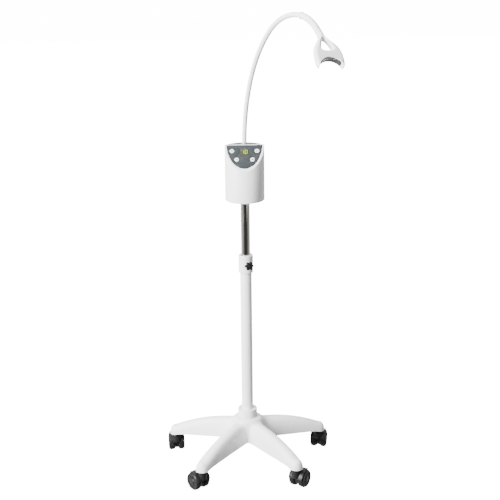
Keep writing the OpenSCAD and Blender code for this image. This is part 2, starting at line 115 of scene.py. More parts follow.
def mouldedPlastic(name, colour, tint, rough, grain, depth, coat, scuff):
    material, nodes, links = blankMaterial(name)
    toneFrame = framed(nodes, "tone of the moulding")
    glossFrame = framed(nodes, "gloss and handling marks")
    grainFrame = framed(nodes, "spark-eroded grain")
    place = nodes.new("ShaderNodeTexCoord")
    place.label = "place on the part"
    cloud = nodes.new("ShaderNodeTexNoise")
    cloud.label = "uneven melt"
    cloud.inputs["Scale"].default_value = 9.0
    cloud.inputs["Detail"].default_value = 3.0
    toneMix = nodes.new("ShaderNodeMix")
    toneMix.label = "body colour to tint"
    toneMix.data_type = "RGBA"
    toneMix.inputs[6].default_value = (*colour, 1)
    toneMix.inputs[7].default_value = (*tint, 1)
    geometry = nodes.new("ShaderNodeNewGeometry")
    geometry.label = "edges and hollows"
    edge = nodes.new("ShaderNodeMapRange")
    edge.label = "rubbed edges"
    edge.inputs["From Min"].default_value = 0.52
    edge.inputs["From Max"].default_value = 0.62
    edge.inputs["To Max"].default_value = scuff
    edgeMix = nodes.new("ShaderNodeMix")
    edgeMix.label = "paler rubbed edges"
    edgeMix.data_type = "RGBA"
    edgeMix.inputs[7].default_value = (*(min(1, c * 1.25 + 0.05) for c in colour), 1)
    smear = nodes.new("ShaderNodeTexNoise")
    smear.label = "wiped smears"
    smear.inputs["Scale"].default_value = 34.0
    smear.inputs["Detail"].default_value = 5.0
    smear.inputs["Distortion"].default_value = 0.6
    gloss = nodes.new("ShaderNodeMapRange")
    gloss.label = "smears to roughness"
    gloss.inputs["From Min"].default_value = 0.3
    gloss.inputs["From Max"].default_value = 0.7
    gloss.inputs["To Min"].default_value = max(0.02, rough - 0.07)
    gloss.inputs["To Max"].default_value = rough + 0.09
    fine = nodes.new("ShaderNodeTexNoise")
    fine.label = "fine grain"
    fine.inputs["Scale"].default_value = grain
    fine.inputs["Detail"].default_value = 2.0
    wave = nodes.new("ShaderNodeTexNoise")
    wave.label = "sink marks"
    wave.inputs["Scale"].default_value = 26.0
    grainMix = nodes.new("ShaderNodeMath")
    grainMix.label = "grain over sink marks"
    grainMix.operation = "MULTIPLY_ADD"
    grainMix.inputs[1].default_value = 0.35
    bump = nodes.new("ShaderNodeBump")
    bump.label = "grain relief"
    bump.inputs["Strength"].default_value = depth
    bump.inputs["Distance"].default_value = 0.0004
    shader = nodes.new("ShaderNodeBsdfPrincipled")
    shader.label = "moulded plastic"
    shader.inputs["IOR"].default_value = 1.5 if max(colour) > 0.2 else 1.3
    shader.inputs["Coat Weight"].default_value = coat
    shader.inputs["Coat Roughness"].default_value = 0.12
    out = nodes.new("ShaderNodeOutputMaterial")
    out.label = "surface"
    spread([(toneFrame, (place, cloud, toneMix, geometry, edge, edgeMix)),
            (glossFrame, (smear, gloss)), (grainFrame, (fine, wave, grainMix, bump)),
            (None, (shader, out))])
    for texture in (cloud, smear, fine, wave):
        links.new(place.outputs["Object"], texture.inputs["Vector"])
    links.new(cloud.outputs["Fac"], toneMix.inputs[0])
    links.new(toneMix.outputs[2], edgeMix.inputs[6])
    links.new(geometry.outputs["Pointiness"], edge.inputs["Value"])
    links.new(edge.outputs["Result"], edgeMix.inputs[0])
    links.new(smear.outputs["Fac"], gloss.inputs["Value"])
    links.new(fine.outputs["Fac"], grainMix.inputs[0])
    links.new(wave.outputs["Fac"], grainMix.inputs[2])
    links.new(grainMix.outputs["Value"], bump.inputs["Height"])
    links.new(edgeMix.outputs[2], shader.inputs["Base Color"])
    links.new(gloss.outputs["Result"], shader.inputs["Roughness"])
    links.new(bump.outputs["Normal"], shader.inputs["Normal"])
    links.new(shader.outputs["BSDF"], out.inputs["Surface"])
    return material


def metalFinish(name, colour, stain, rough, lines, depth, alongTube):
    material, nodes, links = blankMaterial(name)
    stainFrame = framed(nodes, "stains and finger marks")
    lineFrame = framed(nodes, "polishing lines")
    place = nodes.new("ShaderNodeTexCoord")
    place.label = "place on the part"
    stretch = nodes.new("ShaderNodeMapping")
    stretch.label = "lines along the part"
    stretch.inputs["Scale"].default_value = (1, 1, 0.03) if alongTube else (0.04, 0.04, 1)
    streak = nodes.new("ShaderNodeTexNoise")
    streak.label = "polishing lines"
    streak.inputs["Scale"].default_value = lines
    streak.inputs["Detail"].default_value = 4.0
    bump = nodes.new("ShaderNodeBump")
    bump.label = "line relief"
    bump.inputs["Strength"].default_value = depth
    bump.inputs["Distance"].default_value = 0.0002
    cloud = nodes.new("ShaderNodeTexNoise")
    cloud.label = "finger marks"
    cloud.inputs["Scale"].default_value = 22.0
    cloud.inputs["Detail"].default_value = 4.0
    marks = nodes.new("ShaderNodeValToRGB")
    marks.label = "where the marks lie"
    marks.color_ramp.elements[0].position = 0.45
    marks.color_ramp.elements[1].position = 0.72
    stainMix = nodes.new("ShaderNodeMix")
    stainMix.label = "metal to stain"
    stainMix.data_type = "RGBA"
    stainMix.inputs[6].default_value = (*colour, 1)
    stainMix.inputs[7].default_value = (*stain, 1)
    gloss = nodes.new("ShaderNodeMapRange")
    gloss.label = "marks to roughness"
    gloss.inputs["To Min"].default_value = rough
    gloss.inputs["To Max"].default_value = rough * 1.5 + 0.04
    streakGloss = nodes.new("ShaderNodeMath")
    streakGloss.label = "rougher in the lines"
    streakGloss.operation = "MULTIPLY_ADD"
    streakGloss.inputs[1].default_value = 0.06
    shader = nodes.new("ShaderNodeBsdfPrincipled")
    shader.label = "metal"
    shader.inputs["Metallic"].default_value = 1.0
    out = nodes.new("ShaderNodeOutputMaterial")
    out.label = "surface"
    spread([(stainFrame, (cloud, marks, stainMix, gloss)),
            (lineFrame, (place, stretch, streak, streakGloss, bump)), (None, (shader, out))])
    links.new(place.outputs["Object"], stretch.inputs["Vector"])
    links.new(stretch.outputs["Vector"], streak.inputs["Vector"])
    links.new(place.outputs["Object"], cloud.inputs["Vector"])
    links.new(cloud.outputs["Fac"], marks.inputs["Fac"])
    links.new(marks.outputs["Color"], stainMix.inputs[0])
    links.new(marks.outputs["Color"], gloss.inputs["Value"])
    links.new(streak.outputs["Fac"], streakGloss.inputs[0])
    links.new(gloss.outputs["Result"], streakGloss.inputs[2])
    links.new(streak.outputs["Fac"], bump.inputs["Height"])
    links.new(stainMix.outputs[2], shader.inputs["Base Color"])
    links.new(streakGloss.outputs["Value"], shader.inputs["Roughness"])
    links.new(bump.outputs["Normal"], shader.inputs["Normal"])
    links.new(shader.outputs["BSDF"], out.inputs["Surface"])
    return material


def powderCoat(name, colour):
    material, nodes, links = blankMaterial(name)
    peelFrame = framed(nodes, "orange peel of the baked powder")
    toneFrame = framed(nodes, "tone and dust")
    place = nodes.new("ShaderNodeTexCoord")
    place.label = "place on the tube"
    peel = nodes.new("ShaderNodeTexVoronoi")
    peel.label = "melted grains"
    peel.feature = "SMOOTH_F1"
    peel.inputs["Scale"].default_value = 620.0
    peelSoft = nodes.new("ShaderNodeTexNoise")
    peelSoft.label = "flow of the coat"
    peelSoft.inputs["Scale"].default_value = 160.0
    peelSum = nodes.new("ShaderNodeMath")
    peelSum.label = "grains and flow"
    peelSum.operation = "ADD"
    bump = nodes.new("ShaderNodeBump")
    bump.label = "orange peel"
    bump.inputs["Strength"].default_value = 0.12
    bump.inputs["Distance"].default_value = 0.0003
    cloud = nodes.new("ShaderNodeTexNoise")
    cloud.label = "coat thickness"
    cloud.inputs["Scale"].default_value = 7.0
    toneMix = nodes.new("ShaderNodeMix")
    toneMix.label = "white to thin white"
    toneMix.data_type = "RGBA"
    toneMix.inputs[6].default_value = (*colour, 1)
    toneMix.inputs[7].default_value = (*(c * 0.94 for c in colour), 1)
    gloss = nodes.new("ShaderNodeMapRange")
    gloss.label = "coat to roughness"
    gloss.inputs["To Min"].default_value = 0.26
    gloss.inputs["To Max"].default_value = 0.42
    shader = nodes.new("ShaderNodeBsdfPrincipled")
    shader.label = "baked powder"
    shader.inputs["Coat Weight"].default_value = 0.25
    shader.inputs["Coat Roughness"].default_value = 0.18
    out = nodes.new("ShaderNodeOutputMaterial")
    out.label = "surface"
    spread([(toneFrame, (place, cloud, toneMix, gloss)), (peelFrame, (peel, peelSoft, peelSum, bump)),
            (None, (shader, out))])
    for texture in (peel, peelSoft, cloud):
        links.new(place.outputs["Object"], texture.inputs["Vector"])
    links.new(peel.outputs["Distance"], peelSum.inputs[0])
    links.new(peelSoft.outputs["Fac"], peelSum.inputs[1])
    links.new(peelSum.outputs["Value"], bump.inputs["Height"])
    links.new(cloud.outputs["Fac"], toneMix.inputs[0])
    links.new(cloud.outputs["Fac"], gloss.inputs["Value"])
    links.new(toneMix.outputs[2], shader.inputs["Base Color"])
    links.new(gloss.outputs["Result"], shader.inputs["Roughness"])
    links.new(bump.outputs["Normal"], shader.inputs["Normal"])
    links.new(shader.outputs["BSDF"], out.inputs["Surface"])
    return material


def clearPart(name, colour, rough, haze, sight):
    material, nodes, links = blankMaterial(name)
    hazeFrame = framed(nodes, "haze and fine scratches")
    place = nodes.new("ShaderNodeTexCoord")
    place.label = "place on the window"
    scratch = nodes.new("ShaderNodeTexNoise")
    scratch.label = "wiping scratches"
    scratch.inputs["Scale"].default_value = 210.0
    scratch.inputs["Detail"].default_value = 6.0
    cloud = nodes.new("ShaderNodeTexNoise")
    cloud.label = "haze"
    cloud.inputs["Scale"].default_value = 60.0
    gloss = nodes.new("ShaderNodeMapRange")
    gloss.label = "haze to roughness"
    gloss.inputs["To Min"].default_value = rough
    gloss.inputs["To Max"].default_value = rough + haze
    tone = nodes.new("ShaderNodeMix")
    tone.label = "clear to dusty"
    tone.data_type = "RGBA"
    tone.inputs[6].default_value = (*colour, 1)
    tone.inputs[7].default_value = (*(c * 0.8 + 0.05 for c in colour), 1)
    bump = nodes.new("ShaderNodeBump")
    bump.label = "scratch relief"
    bump.inputs["Strength"].default_value = 0.05
    bump.inputs["Distance"].default_value = 0.0002
    shader = nodes.new("ShaderNodeBsdfPrincipled")
    shader.label = "clear plastic"
    shader.inputs["IOR"].default_value = 1.49 if sight else 1.2
    shader.inputs["Transmission Weight"].default_value = sight
    shader.inputs["Coat Weight"].default_value = 0.5
    out = nodes.new("ShaderNodeOutputMaterial")
    out.label = "surface"
    spread([(hazeFrame, (place, scratch, cloud, gloss, tone, bump)), (None, (shader, out))])
    links.new(place.outputs["Object"], scratch.inputs["Vector"])
    links.new(place.outputs["Object"], cloud.inputs["Vector"])
    links.new(cloud.outputs["Fac"], gloss.inputs["Value"])
    links.new(cloud.outputs["Fac"], tone.inputs[0])
    links.new(scratch.outputs["Fac"], bump.inputs["Height"])
    links.new(tone.outputs[2], shader.inputs["Base Color"])
    links.new(gloss.outputs["Result"], shader.inputs["Roughness"])
    links.new(bump.outputs["Normal"], shader.inputs["Normal"])
    links.new(shader.outputs["BSDF"], out.inputs["Surface"])
    return material


def circuitBoard(name):
    material, nodes, links = blankMaterial(name)
    trackFrame = framed(nodes, "copper tracks under lacquer")
    place = nodes.new("ShaderNodeTexCoord")
    place.label = "place on the board"
    tracks = nodes.new("ShaderNodeTexBrick")
    tracks.label = "tracks"
    tracks.inputs["Scale"].default_value = 220.0
    tracks.inputs["Color1"].default_value = (0.01, 0.1, 0.04, 1)
    tracks.inputs["Color2"].default_value = (0.015, 0.13, 0.05, 1)
    tracks.inputs["Mortar"].default_value = (0.05, 0.24, 0.09, 1)
    weave = nodes.new("ShaderNodeTexNoise")
    weave.label = "glass cloth"
    weave.inputs["Scale"].default_value = 900.0
    bump = nodes.new("ShaderNodeBump")
    bump.label = "track relief"
    bump.inputs["Strength"].default_value = 0.3
    bump.inputs["Distance"].default_value = 0.0002
    shader = nodes.new("ShaderNodeBsdfPrincipled")
    shader.label = "lacquered board"
    shader.inputs["Roughness"].default_value = 0.32
    out = nodes.new("ShaderNodeOutputMaterial")
    out.label = "surface"
    spread([(trackFrame, (place, tracks, weave, bump)), (None, (shader, out))])
    links.new(place.outputs["Object"], tracks.inputs["Vector"])
    links.new(place.outputs["Object"], weave.inputs["Vector"])
    links.new(weave.outputs["Fac"], bump.inputs["Height"])
    links.new(tracks.outputs["Color"], shader.inputs["Base Color"])
    links.new(bump.outputs["Normal"], shader.inputs["Normal"])
    links.new(shader.outputs["BSDF"], out.inputs["Surface"])
    return material


def litFigure(name, colour, power):
    material, nodes, links = blankMaterial(name)
    glowFrame = framed(nodes, "glow of the lit segments")
    place = nodes.new("ShaderNodeTexCoord")
    place.label = "place on the display"
    mottle = nodes.new("ShaderNodeTexNoise")
    mottle.label = "uneven glow"
    mottle.inputs["Scale"].default_value = 700.0
    ramp = nodes.new("ShaderNodeValToRGB")
    ramp.label = "dim to bright"
    ramp.color_ramp.elements[0].color = (*(c * 0.75 for c in colour), 1)
    ramp.color_ramp.elements[1].color = (*colour, 1)
    shader = nodes.new("ShaderNodeBsdfPrincipled")
    shader.label = "lit segment"
    shader.inputs["Base Color"].default_value = (*(c * 0.3 for c in colour), 1)
    shader.inputs["Roughness"].default_value = 0.4
    shader.inputs["Emission Strength"].default_value = power
    out = nodes.new("ShaderNodeOutputMaterial")
    out.label = "surface"
    spread([(glowFrame, (place, mottle, ramp)), (None, (shader, out))])
    links.new(place.outputs["Object"], mottle.inputs["Vector"])
    links.new(mottle.outputs["Fac"], ramp.inputs["Fac"])
    links.new(ramp.outputs["Color"], shader.inputs["Emission Color"])
    links.new(shader.outputs["BSDF"], out.inputs["Surface"])
    return material


white = (0.83, 0.83, 0.825)
finish = {
    "white_nylon": mouldedPlastic("whiteNylon", white, (0.78, 0.78, 0.77), 0.42, 1500, 0.3, 0.0, 0.3),
    "white_plastic": mouldedPlastic("whiteHousing", (0.84, 0.84, 0.835), (0.8, 0.8, 0.79), 0.3, 2200,
                                    0.12, 0.15, 0.3),
    "white_paint": powderCoat("whitePowder", (0.85, 0.85, 0.845)),
    "grey_nylon": mouldedPlastic("greyBush", (0.4, 0.4, 0.41), (0.33, 0.33, 0.34), 0.5, 1500, 0.2, 0.0, 0.2),
    "steel": metalFinish("plainSteel", (0.55, 0.55, 0.56), (0.4, 0.39, 0.37), 0.3, 500, 0.2, False),
    "chrome": metalFinish("polishedTube", (0.5, 0.485, 0.46), (0.4, 0.385, 0.36), 0.07, 900, 0.05, True),
    "black_plastic": mouldedPlastic("blackHood", (0.006, 0.006, 0.0065), (0.011, 0.011, 0.0115), 0.42,
                                    1400, 0.35, 0.0, 0.2),
    "wheel_black": mouldedPlastic("blackTread", (0.006, 0.006, 0.0065), (0.014, 0.0135, 0.013), 0.36, 800,
                                  0.25, 0.0, 0.3),
    "slate_plate": mouldedPlastic("slateFoil", (0.022, 0.027, 0.03), (0.027, 0.032, 0.035), 0.55, 3200,
                                  0.3, 0.0, 0.1),
    "grey_cap": mouldedPlastic("greyCap", (0.12, 0.12, 0.123), (0.095, 0.095, 0.098), 0.45, 1800, 0.25,
                               0.0, 0.3),
    "window": clearPart("oliveWindow", (0.016, 0.022, 0.003), 0.3, 0.12, 0.0),
    "board": circuitBoard("lacqueredBoard"),
    "button_white": mouldedPlastic("keyCap", (0.86, 0.87, 0.87), (0.82, 0.83, 0.83), 0.28, 2600, 0.1,
                                   0.3, 0.3),
    "sleeve_white": mouldedPlastic("softSleeve", (0.82, 0.82, 0.81), (0.77, 0.77, 0.755), 0.5, 1100,
                                   0.35, 0.0, 0.15),
    "led": clearPart("diodeLens", (0.75, 0.8, 0.9), 0.08, 0.08, 0.1),
    "clear_window": clearPart("smokedWindow", (0.3, 0.31, 0.33), 0.03, 0.06, 0.92),
    "aluminium": metalFinish("plainAluminium", (0.68, 0.68, 0.7), (0.5, 0.5, 0.5), 0.34, 400, 0.25, False),
}
markInk = mouldedPlastic("markInk", (0.025, 0.028, 0.03), (0.04, 0.044, 0.046), 0.5, 2000, 0.1, 0.0, 0.0)
litSegments = litFigure("litSegments", (0.62, 0.8, 0.04), 1.6)
reflector = metalFinish("darkReflector", (0.1, 0.1, 0.105), (0.05, 0.05, 0.055), 0.3, 500, 0.1, False)
print("materials made:", len(finish) + 3)

# helpers


def smoothed(ob, sharp=32):
    ob.data.shade_smooth()
    ob.data.set_sharp_from_angle(angle=math.radians(sharp))
    return ob


def outward(ob):
    work = bmesh.new()
    work.from_mesh(ob.data)
    bmesh.ops.remove_doubles(work, verts=work.verts, dist=2e-6)
    bmesh.ops.dissolve_degenerate(work, edges=work.edges, dist=1e-7)
    bmesh.ops.recalc_face_normals(work, faces=work.faces)
    work.to_mesh(ob.data)
    work.free()


def ringFaces(rings, around, first=0):
    # faces between closed rings of points that follow each other
    faces = []
    for k in range(rings - 1):
        a = first + k * around
        for i in range(around):
            j = (i + 1) % around
            faces.append((a + i, a + j, a + around + j, a + around + i))
    return faces


def meshPiece(name, points, faces, sharp=32):
    mesh = bpy.data.meshes.new(name)
    mesh.from_pydata([tuple(p) for p in points], [], faces)
    ob = bpy.data.objects.new(name, mesh)
    bpy.context.scene.collection.objects.link(ob)
    outward(ob)
    return smoothed(ob, sharp)


def settled(ob, name=None):
    bpy.context.view_layer.update()
    deps = bpy.context.evaluated_depsgraph_get()
    mesh = bpy.data.meshes.new_from_object(ob.evaluated_get(deps), depsgraph=deps)
    title = name or ob.name
    bpy.data.objects.remove(ob)
    mesh.name = title
    fresh = bpy.data.objects.new(title, mesh)
    bpy.context.scene.collection.objects.link(fresh)
    return fresh


def joined(name, parts):
    work = bmesh.new()
    for part in parts:
        work.from_mesh(part.data)
    mesh = bpy.data.meshes.new(name)
    work.to_mesh(mesh)
    work.free()
    for part in parts:
        bpy.data.objects.remove(part)
    ob = bpy.data.objects.new(name, mesh)
    bpy.context.scene.collection.objects.link(ob)
    return ob


def painted(ob, material):
    ob.data.materials.clear()
    ob.data.materials.append(material)
    return ob


def mounted(ob, body, slotName, replaced=(), material=None):
    painted(ob, material or finish[slotName])
    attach(ob, body)
    if replaced:
        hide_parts(*replaced)
    return ob


def soft(corners, ring=True, steps=4):
    line = []
    for i, corner in enumerate(corners):
        p = Vector(corner[:2])
        if len(corner) < 3 or (not ring and i in (0, len(corners) - 1)):
            line.append(tuple(p))
            continue
        before = Vector(corners[i - 1][:2]) - p
        after = Vector(corners[(i + 1) % len(corners)][:2]) - p
        start = p + before.normalized() * min(corner[2], before.length * 0.49)
        end = p + after.normalized() * min(corner[2], after.length * 0.49)
        for k in range(steps + 1):
            t = k / steps
            line.append(tuple(start * (1 - t) ** 2 + p * 2 * t * (1 - t) + end * t * t))
    return line


def lathe(name, profile, segments=64, place=None, ring=True, sharp=32):
    points, faces, rows = [], [], []
    for r, z in profile:
        if r < 1e-4:
            rows.append([len(points)] * segments)
            points.append((0, 0, z * mm))
            continue
        rows.append(range(len(points), len(points) + segments))
        for i in range(segments):
            a = math.tau * i / segments
            points.append((r * mm * math.cos(a), r * mm * math.sin(a), z * mm))
    for a, b in zip(rows, rows[1:] + ([rows[0]] if ring else [])):
        for i in range(segments):
            j = (i + 1) % segments
            face = list(dict.fromkeys((a[i], a[j], b[j], b[i])))
            if len(face) > 2:
                faces.append(face)
    ob = meshPiece(name, points, faces, sharp)
    if place:
        ob.data.transform(place)
    return ob


def softened(node, name, width, angle=35, steps=2, dissolve=1.0):
    source = frame["nodes"][node]
    mesh = source.data.copy()
    ob = bpy.data.objects.new(name, mesh)
    bpy.context.scene.collection.objects.link(ob)
    work = bmesh.new()
    work.from_mesh(mesh)
    bmesh.ops.remove_doubles(work, verts=work.verts, dist=2e-6)
    bmesh.ops.dissolve_limit(work, angle_limit=math.radians(dissolve), verts=work.verts, edges=work.edges)
    work.to_mesh(mesh)
    work.free()
    bevel = ob.modifiers.new("softEdges", "BEVEL")
    bevel.width, bevel.segments = width * mm, steps
    bevel.limit_method, bevel.angle_limit = "ANGLE", math.radians(angle)
    bevel.use_clamp_overlap = True
    return smoothed(settled(ob), 38)


def turned(origin, axis):
    z = Vector(axis).normalized()
    x = Vector((0, 0, 1)).cross(z)
    x = x.normalized() if x.length > 1e-3 else Vector((1, 0, 0))
    y = z.cross(x)
    m = Matrix((x, y, z)).transposed().to_4x4()
    m.translation = Vector(origin)
    return m


# geometry node trees


def sweepTree():
    tree = bpy.data.node_groups.new("sleeveSweep", "GeometryNodeTree")
    face = tree.interface
    face.new_socket("Geometry", in_out="INPUT", socket_type="NodeSocketGeometry")
    for title, value in (("Start Radius", 0.0062), ("End Radius", 0.0066), ("Ring Depth", 0.0),
                         ("Ring Count", 40.0)):
        face.new_socket(title, in_out="INPUT", socket_type="NodeSocketFloat").default_value = value
    for title, value in (("Stations", 60), ("Sides", 40)):
        face.new_socket(title, in_out="INPUT", socket_type="NodeSocketInt").default_value = value
    face.new_socket("Material", in_out="INPUT", socket_type="NodeSocketMaterial")
    face.new_socket("Geometry", in_out="OUTPUT", socket_type="NodeSocketGeometry")
    nodes, links = tree.nodes, tree.links
    given = nodes.new("NodeGroupInput")
    given.label = "path and sizes"
    toCurve = nodes.new("GeometryNodeMeshToCurve")
    toCurve.label = "path from the edge chain"
    even = nodes.new("GeometryNodeResampleCurve")
    even.label = "even stations"
    along = nodes.new("GeometryNodeSplineParameter")
    along.label = "share of the length"
    taper = nodes.new("ShaderNodeMapRange")
    taper.label = "taper"
    rings = nodes.new("ShaderNodeMath")
    rings.label = "rings along the length"
    rings.operation = "MULTIPLY"
    wave = nodes.new("ShaderNodeMath")
    wave.label = "ring wave"
    wave.operation = "SINE"
    depth = nodes.new("ShaderNodeMath")
    depth.label = "taper less ring"
    depth.operation = "MULTIPLY_ADD"
    circle = nodes.new("GeometryNodeCurvePrimitiveCircle")
    circle.label = "round section"
    circle.inputs["Radius"].default_value = 1.0
    sweep = nodes.new("GeometryNodeCurveToMesh")
    sweep.label = "sleeve"
    sweep.inputs["Fill Caps"].default_value = True
    real = nodes.new("GeometryNodeRealizeInstances")
    real.label = "plain mesh"
    paint = nodes.new("GeometryNodeSetMaterial")
    paint.label = "sleeve finish"
    out = nodes.new("NodeGroupOutput")
    inRow((given, toCurve, even, along, taper, rings, wave, depth, circle, sweep, real, paint, out))
    links.new(given.outputs["Geometry"], toCurve.inputs["Mesh"])
    links.new(toCurve.outputs["Curve"], even.inputs["Curve"])
    links.new(given.outputs["Stations"], even.inputs["Count"])
    links.new(along.outputs["Factor"], taper.inputs["Value"])
    links.new(given.outputs["Start Radius"], taper.inputs["To Min"])
    links.new(given.outputs["End Radius"], taper.inputs["To Max"])
    links.new(along.outputs["Factor"], rings.inputs[0])
    links.new(given.outputs["Ring Count"], rings.inputs[1])
    links.new(rings.outputs["Value"], wave.inputs[0])
    links.new(wave.outputs["Value"], depth.inputs[0])
    links.new(given.outputs["Ring Depth"], depth.inputs[1])
    links.new(taper.outputs["Result"], depth.inputs[2])
    links.new(given.outputs["Sides"], circle.inputs["Resolution"])
    links.new(even.outputs["Curve"], sweep.inputs["Curve"])
    links.new(circle.outputs["Curve"], sweep.inputs["Profile Curve"])
    links.new(depth.outputs["Value"], sweep.inputs["Scale"])
    links.new(sweep.outputs["Mesh"], real.inputs["Geometry"])
    links.new(real.outputs["Geometry"], paint.inputs["Geometry"])
    links.new(given.outputs["Material"], paint.inputs["Material"])
    links.new(paint.outputs["Geometry"], out.inputs["Geometry"])
    return tree


def repeatTree():
    tree = bpy.data.node_groups.new("repeatOnPoints", "GeometryNodeTree")
    face = tree.interface
    face.new_socket("Geometry", in_out="INPUT", socket_type="NodeSocketGeometry")
    face.new_socket("Form", in_out="INPUT", socket_type="NodeSocketObject")
    for title, value in (("Size", 1.0), ("Turn Jitter", 0.0)):
        face.new_socket(title, in_out="INPUT", socket_type="NodeSocketFloat").default_value = value
    face.new_socket("Seed", in_out="INPUT", socket_type="NodeSocketInt").default_value = 3
    face.new_socket("Material", in_out="INPUT", socket_type="NodeSocketMaterial")
    face.new_socket("Geometry", in_out="OUTPUT", socket_type="NodeSocketGeometry")
    nodes, links = tree.nodes, tree.links
    given = nodes.new("NodeGroupInput")
    given.label = "points and form"
    form = nodes.new("GeometryNodeObjectInfo")
    form.label = "repeated form"
    facing = nodes.new("GeometryNodeInputNamedAttribute")
    facing.label = "which way each one faces"
    facing.data_type = "FLOAT_VECTOR"
    facing.inputs["Name"].default_value = "facing"
    across = nodes.new("GeometryNodeInputNamedAttribute")
    across.label = "its own X direction"
    across.data_type = "FLOAT_VECTOR"
    across.inputs["Name"].default_value = "across"
    aim = nodes.new("FunctionNodeAxesToRotation")
    aim.label = "axes to rotation"
    aim.primary_axis, aim.secondary_axis = "Z", "X"
    jitter = nodes.new("FunctionNodeRandomValue")
    jitter.label = "loose turn"
    turn = nodes.new("ShaderNodeCombineXYZ")
    turn.label = "turn about its axis"
    spin = nodes.new("FunctionNodeRotateRotation")
    spin.label = "turn in its own frame"
    spin.rotation_space = "LOCAL"
    place = nodes.new("GeometryNodeInstanceOnPoints")
    place.label = "one on each point"
    real = nodes.new("GeometryNodeRealizeInstances")
    real.label = "plain mesh"
    paint = nodes.new("GeometryNodeSetMaterial")
    paint.label = "finish"
    out = nodes.new("NodeGroupOutput")
    inRow((given, form, facing, across, aim, jitter, turn, spin, place, real, paint, out))
    links.new(given.outputs["Form"], form.inputs["Object"])
    links.new(facing.outputs["Attribute"], aim.inputs["Primary Axis"])
    links.new(across.outputs["Attribute"], aim.inputs["Secondary Axis"])
    links.new(given.outputs["Turn Jitter"], jitter.inputs[3])
    links.new(given.outputs["Seed"], jitter.inputs["Seed"])
    links.new(jitter.outputs[1], turn.inputs["Z"])
    links.new(aim.outputs["Rotation"], spin.inputs["Rotation"])
    links.new(turn.outputs["Vector"], spin.inputs["Rotate By"])
    links.new(given.outputs["Geometry"], place.inputs["Points"])
    links.new(form.outputs["Geometry"], place.inputs["Instance"])
    links.new(spin.outputs["Rotation"], place.inputs["Rotation"])
    links.new(given.outputs["Size"], place.inputs["Scale"])
    links.new(place.outputs["Instances"], real.inputs["Geometry"])
    links.new(real.outputs["Geometry"], paint.inputs["Geometry"])
    links.new(given.outputs["Material"], paint.inputs["Material"])
    links.new(paint.outputs["Geometry"], out.inputs["Geometry"])
    return tree


sleeveSweep = sweepTree()
repeatOnPoints = repeatTree()


def treeResult(ob, tree, values):
    modifier = ob.modifiers.new(tree.name, "NODES")
    modifier.node_group = tree
    sockets = [s for s in tree.interface.items_tree if s.item_type == "SOCKET" and s.in_out == "INPUT"]
    ids = {s.name: s.identifier for s in sockets}
    for title, value in values.items():
        modifier[ids[title]] = value
    return settled(ob)


def repeated(name, form, spots, material, jitter=0.0, size=1.0, sharp=32):
    # each spot is a place, which way it faces and its own X direction
    mesh = bpy.data.meshes.new(name)
    mesh.from_pydata([tuple(s[0]) for s in spots], [], [])
    for title, k in (("facing", 1), ("across", 2)):
        layer = mesh.attributes.new(title, "FLOAT_VECTOR", "POINT")
        layer.data.foreach_set("vector", [c for s in spots for c in s[k]])
    ob = bpy.data.objects.new(name, mesh)
    bpy.context.scene.collection.objects.link(ob)
    ob = treeResult(ob, repeatOnPoints, {"Form": form, "Size": size, "Turn Jitter": jitter, "Seed": 7,
                                         "Material": material})
    bpy.data.objects.remove(form)
    return smoothed(ob, sharp)


def swept(name, path, values, sharp=50):
    mesh = bpy.data.meshes.new(name)
    mesh.from_pydata([tuple(p) for p in path], [(i, i + 1) for i in range(len(path) - 1)], [])
    ob = bpy.data.objects.new(name, mesh)
    bpy.context.scene.collection.objects.link(ob)
    ob = treeResult(ob, sleeveSweep, values)
    outward(ob)
    return smoothed(ob, sharp)


print("node trees ready")

# star base

starBase = {"legs": 5, "hubTop": 140.7, "hubHole": 16.3, "wall": 3.2, "ridgeRadius": 450.0, "ridgeTop": 133.0,
            "ridgeX": 20.0, "crest": 17.0, "hubX": 50.0, "hubHalf": 27.4, "tipHalf": 19.2, "footZ": 60.4,
            "lowHub": 77.5, "lowTip": 64.5, "levels": 2, "rootX": 54, "rootCrease": 0.85}
bosses = [Vector(joints[f"swivel_{k}"]["pos_m"]) for k in range(1, 6)]


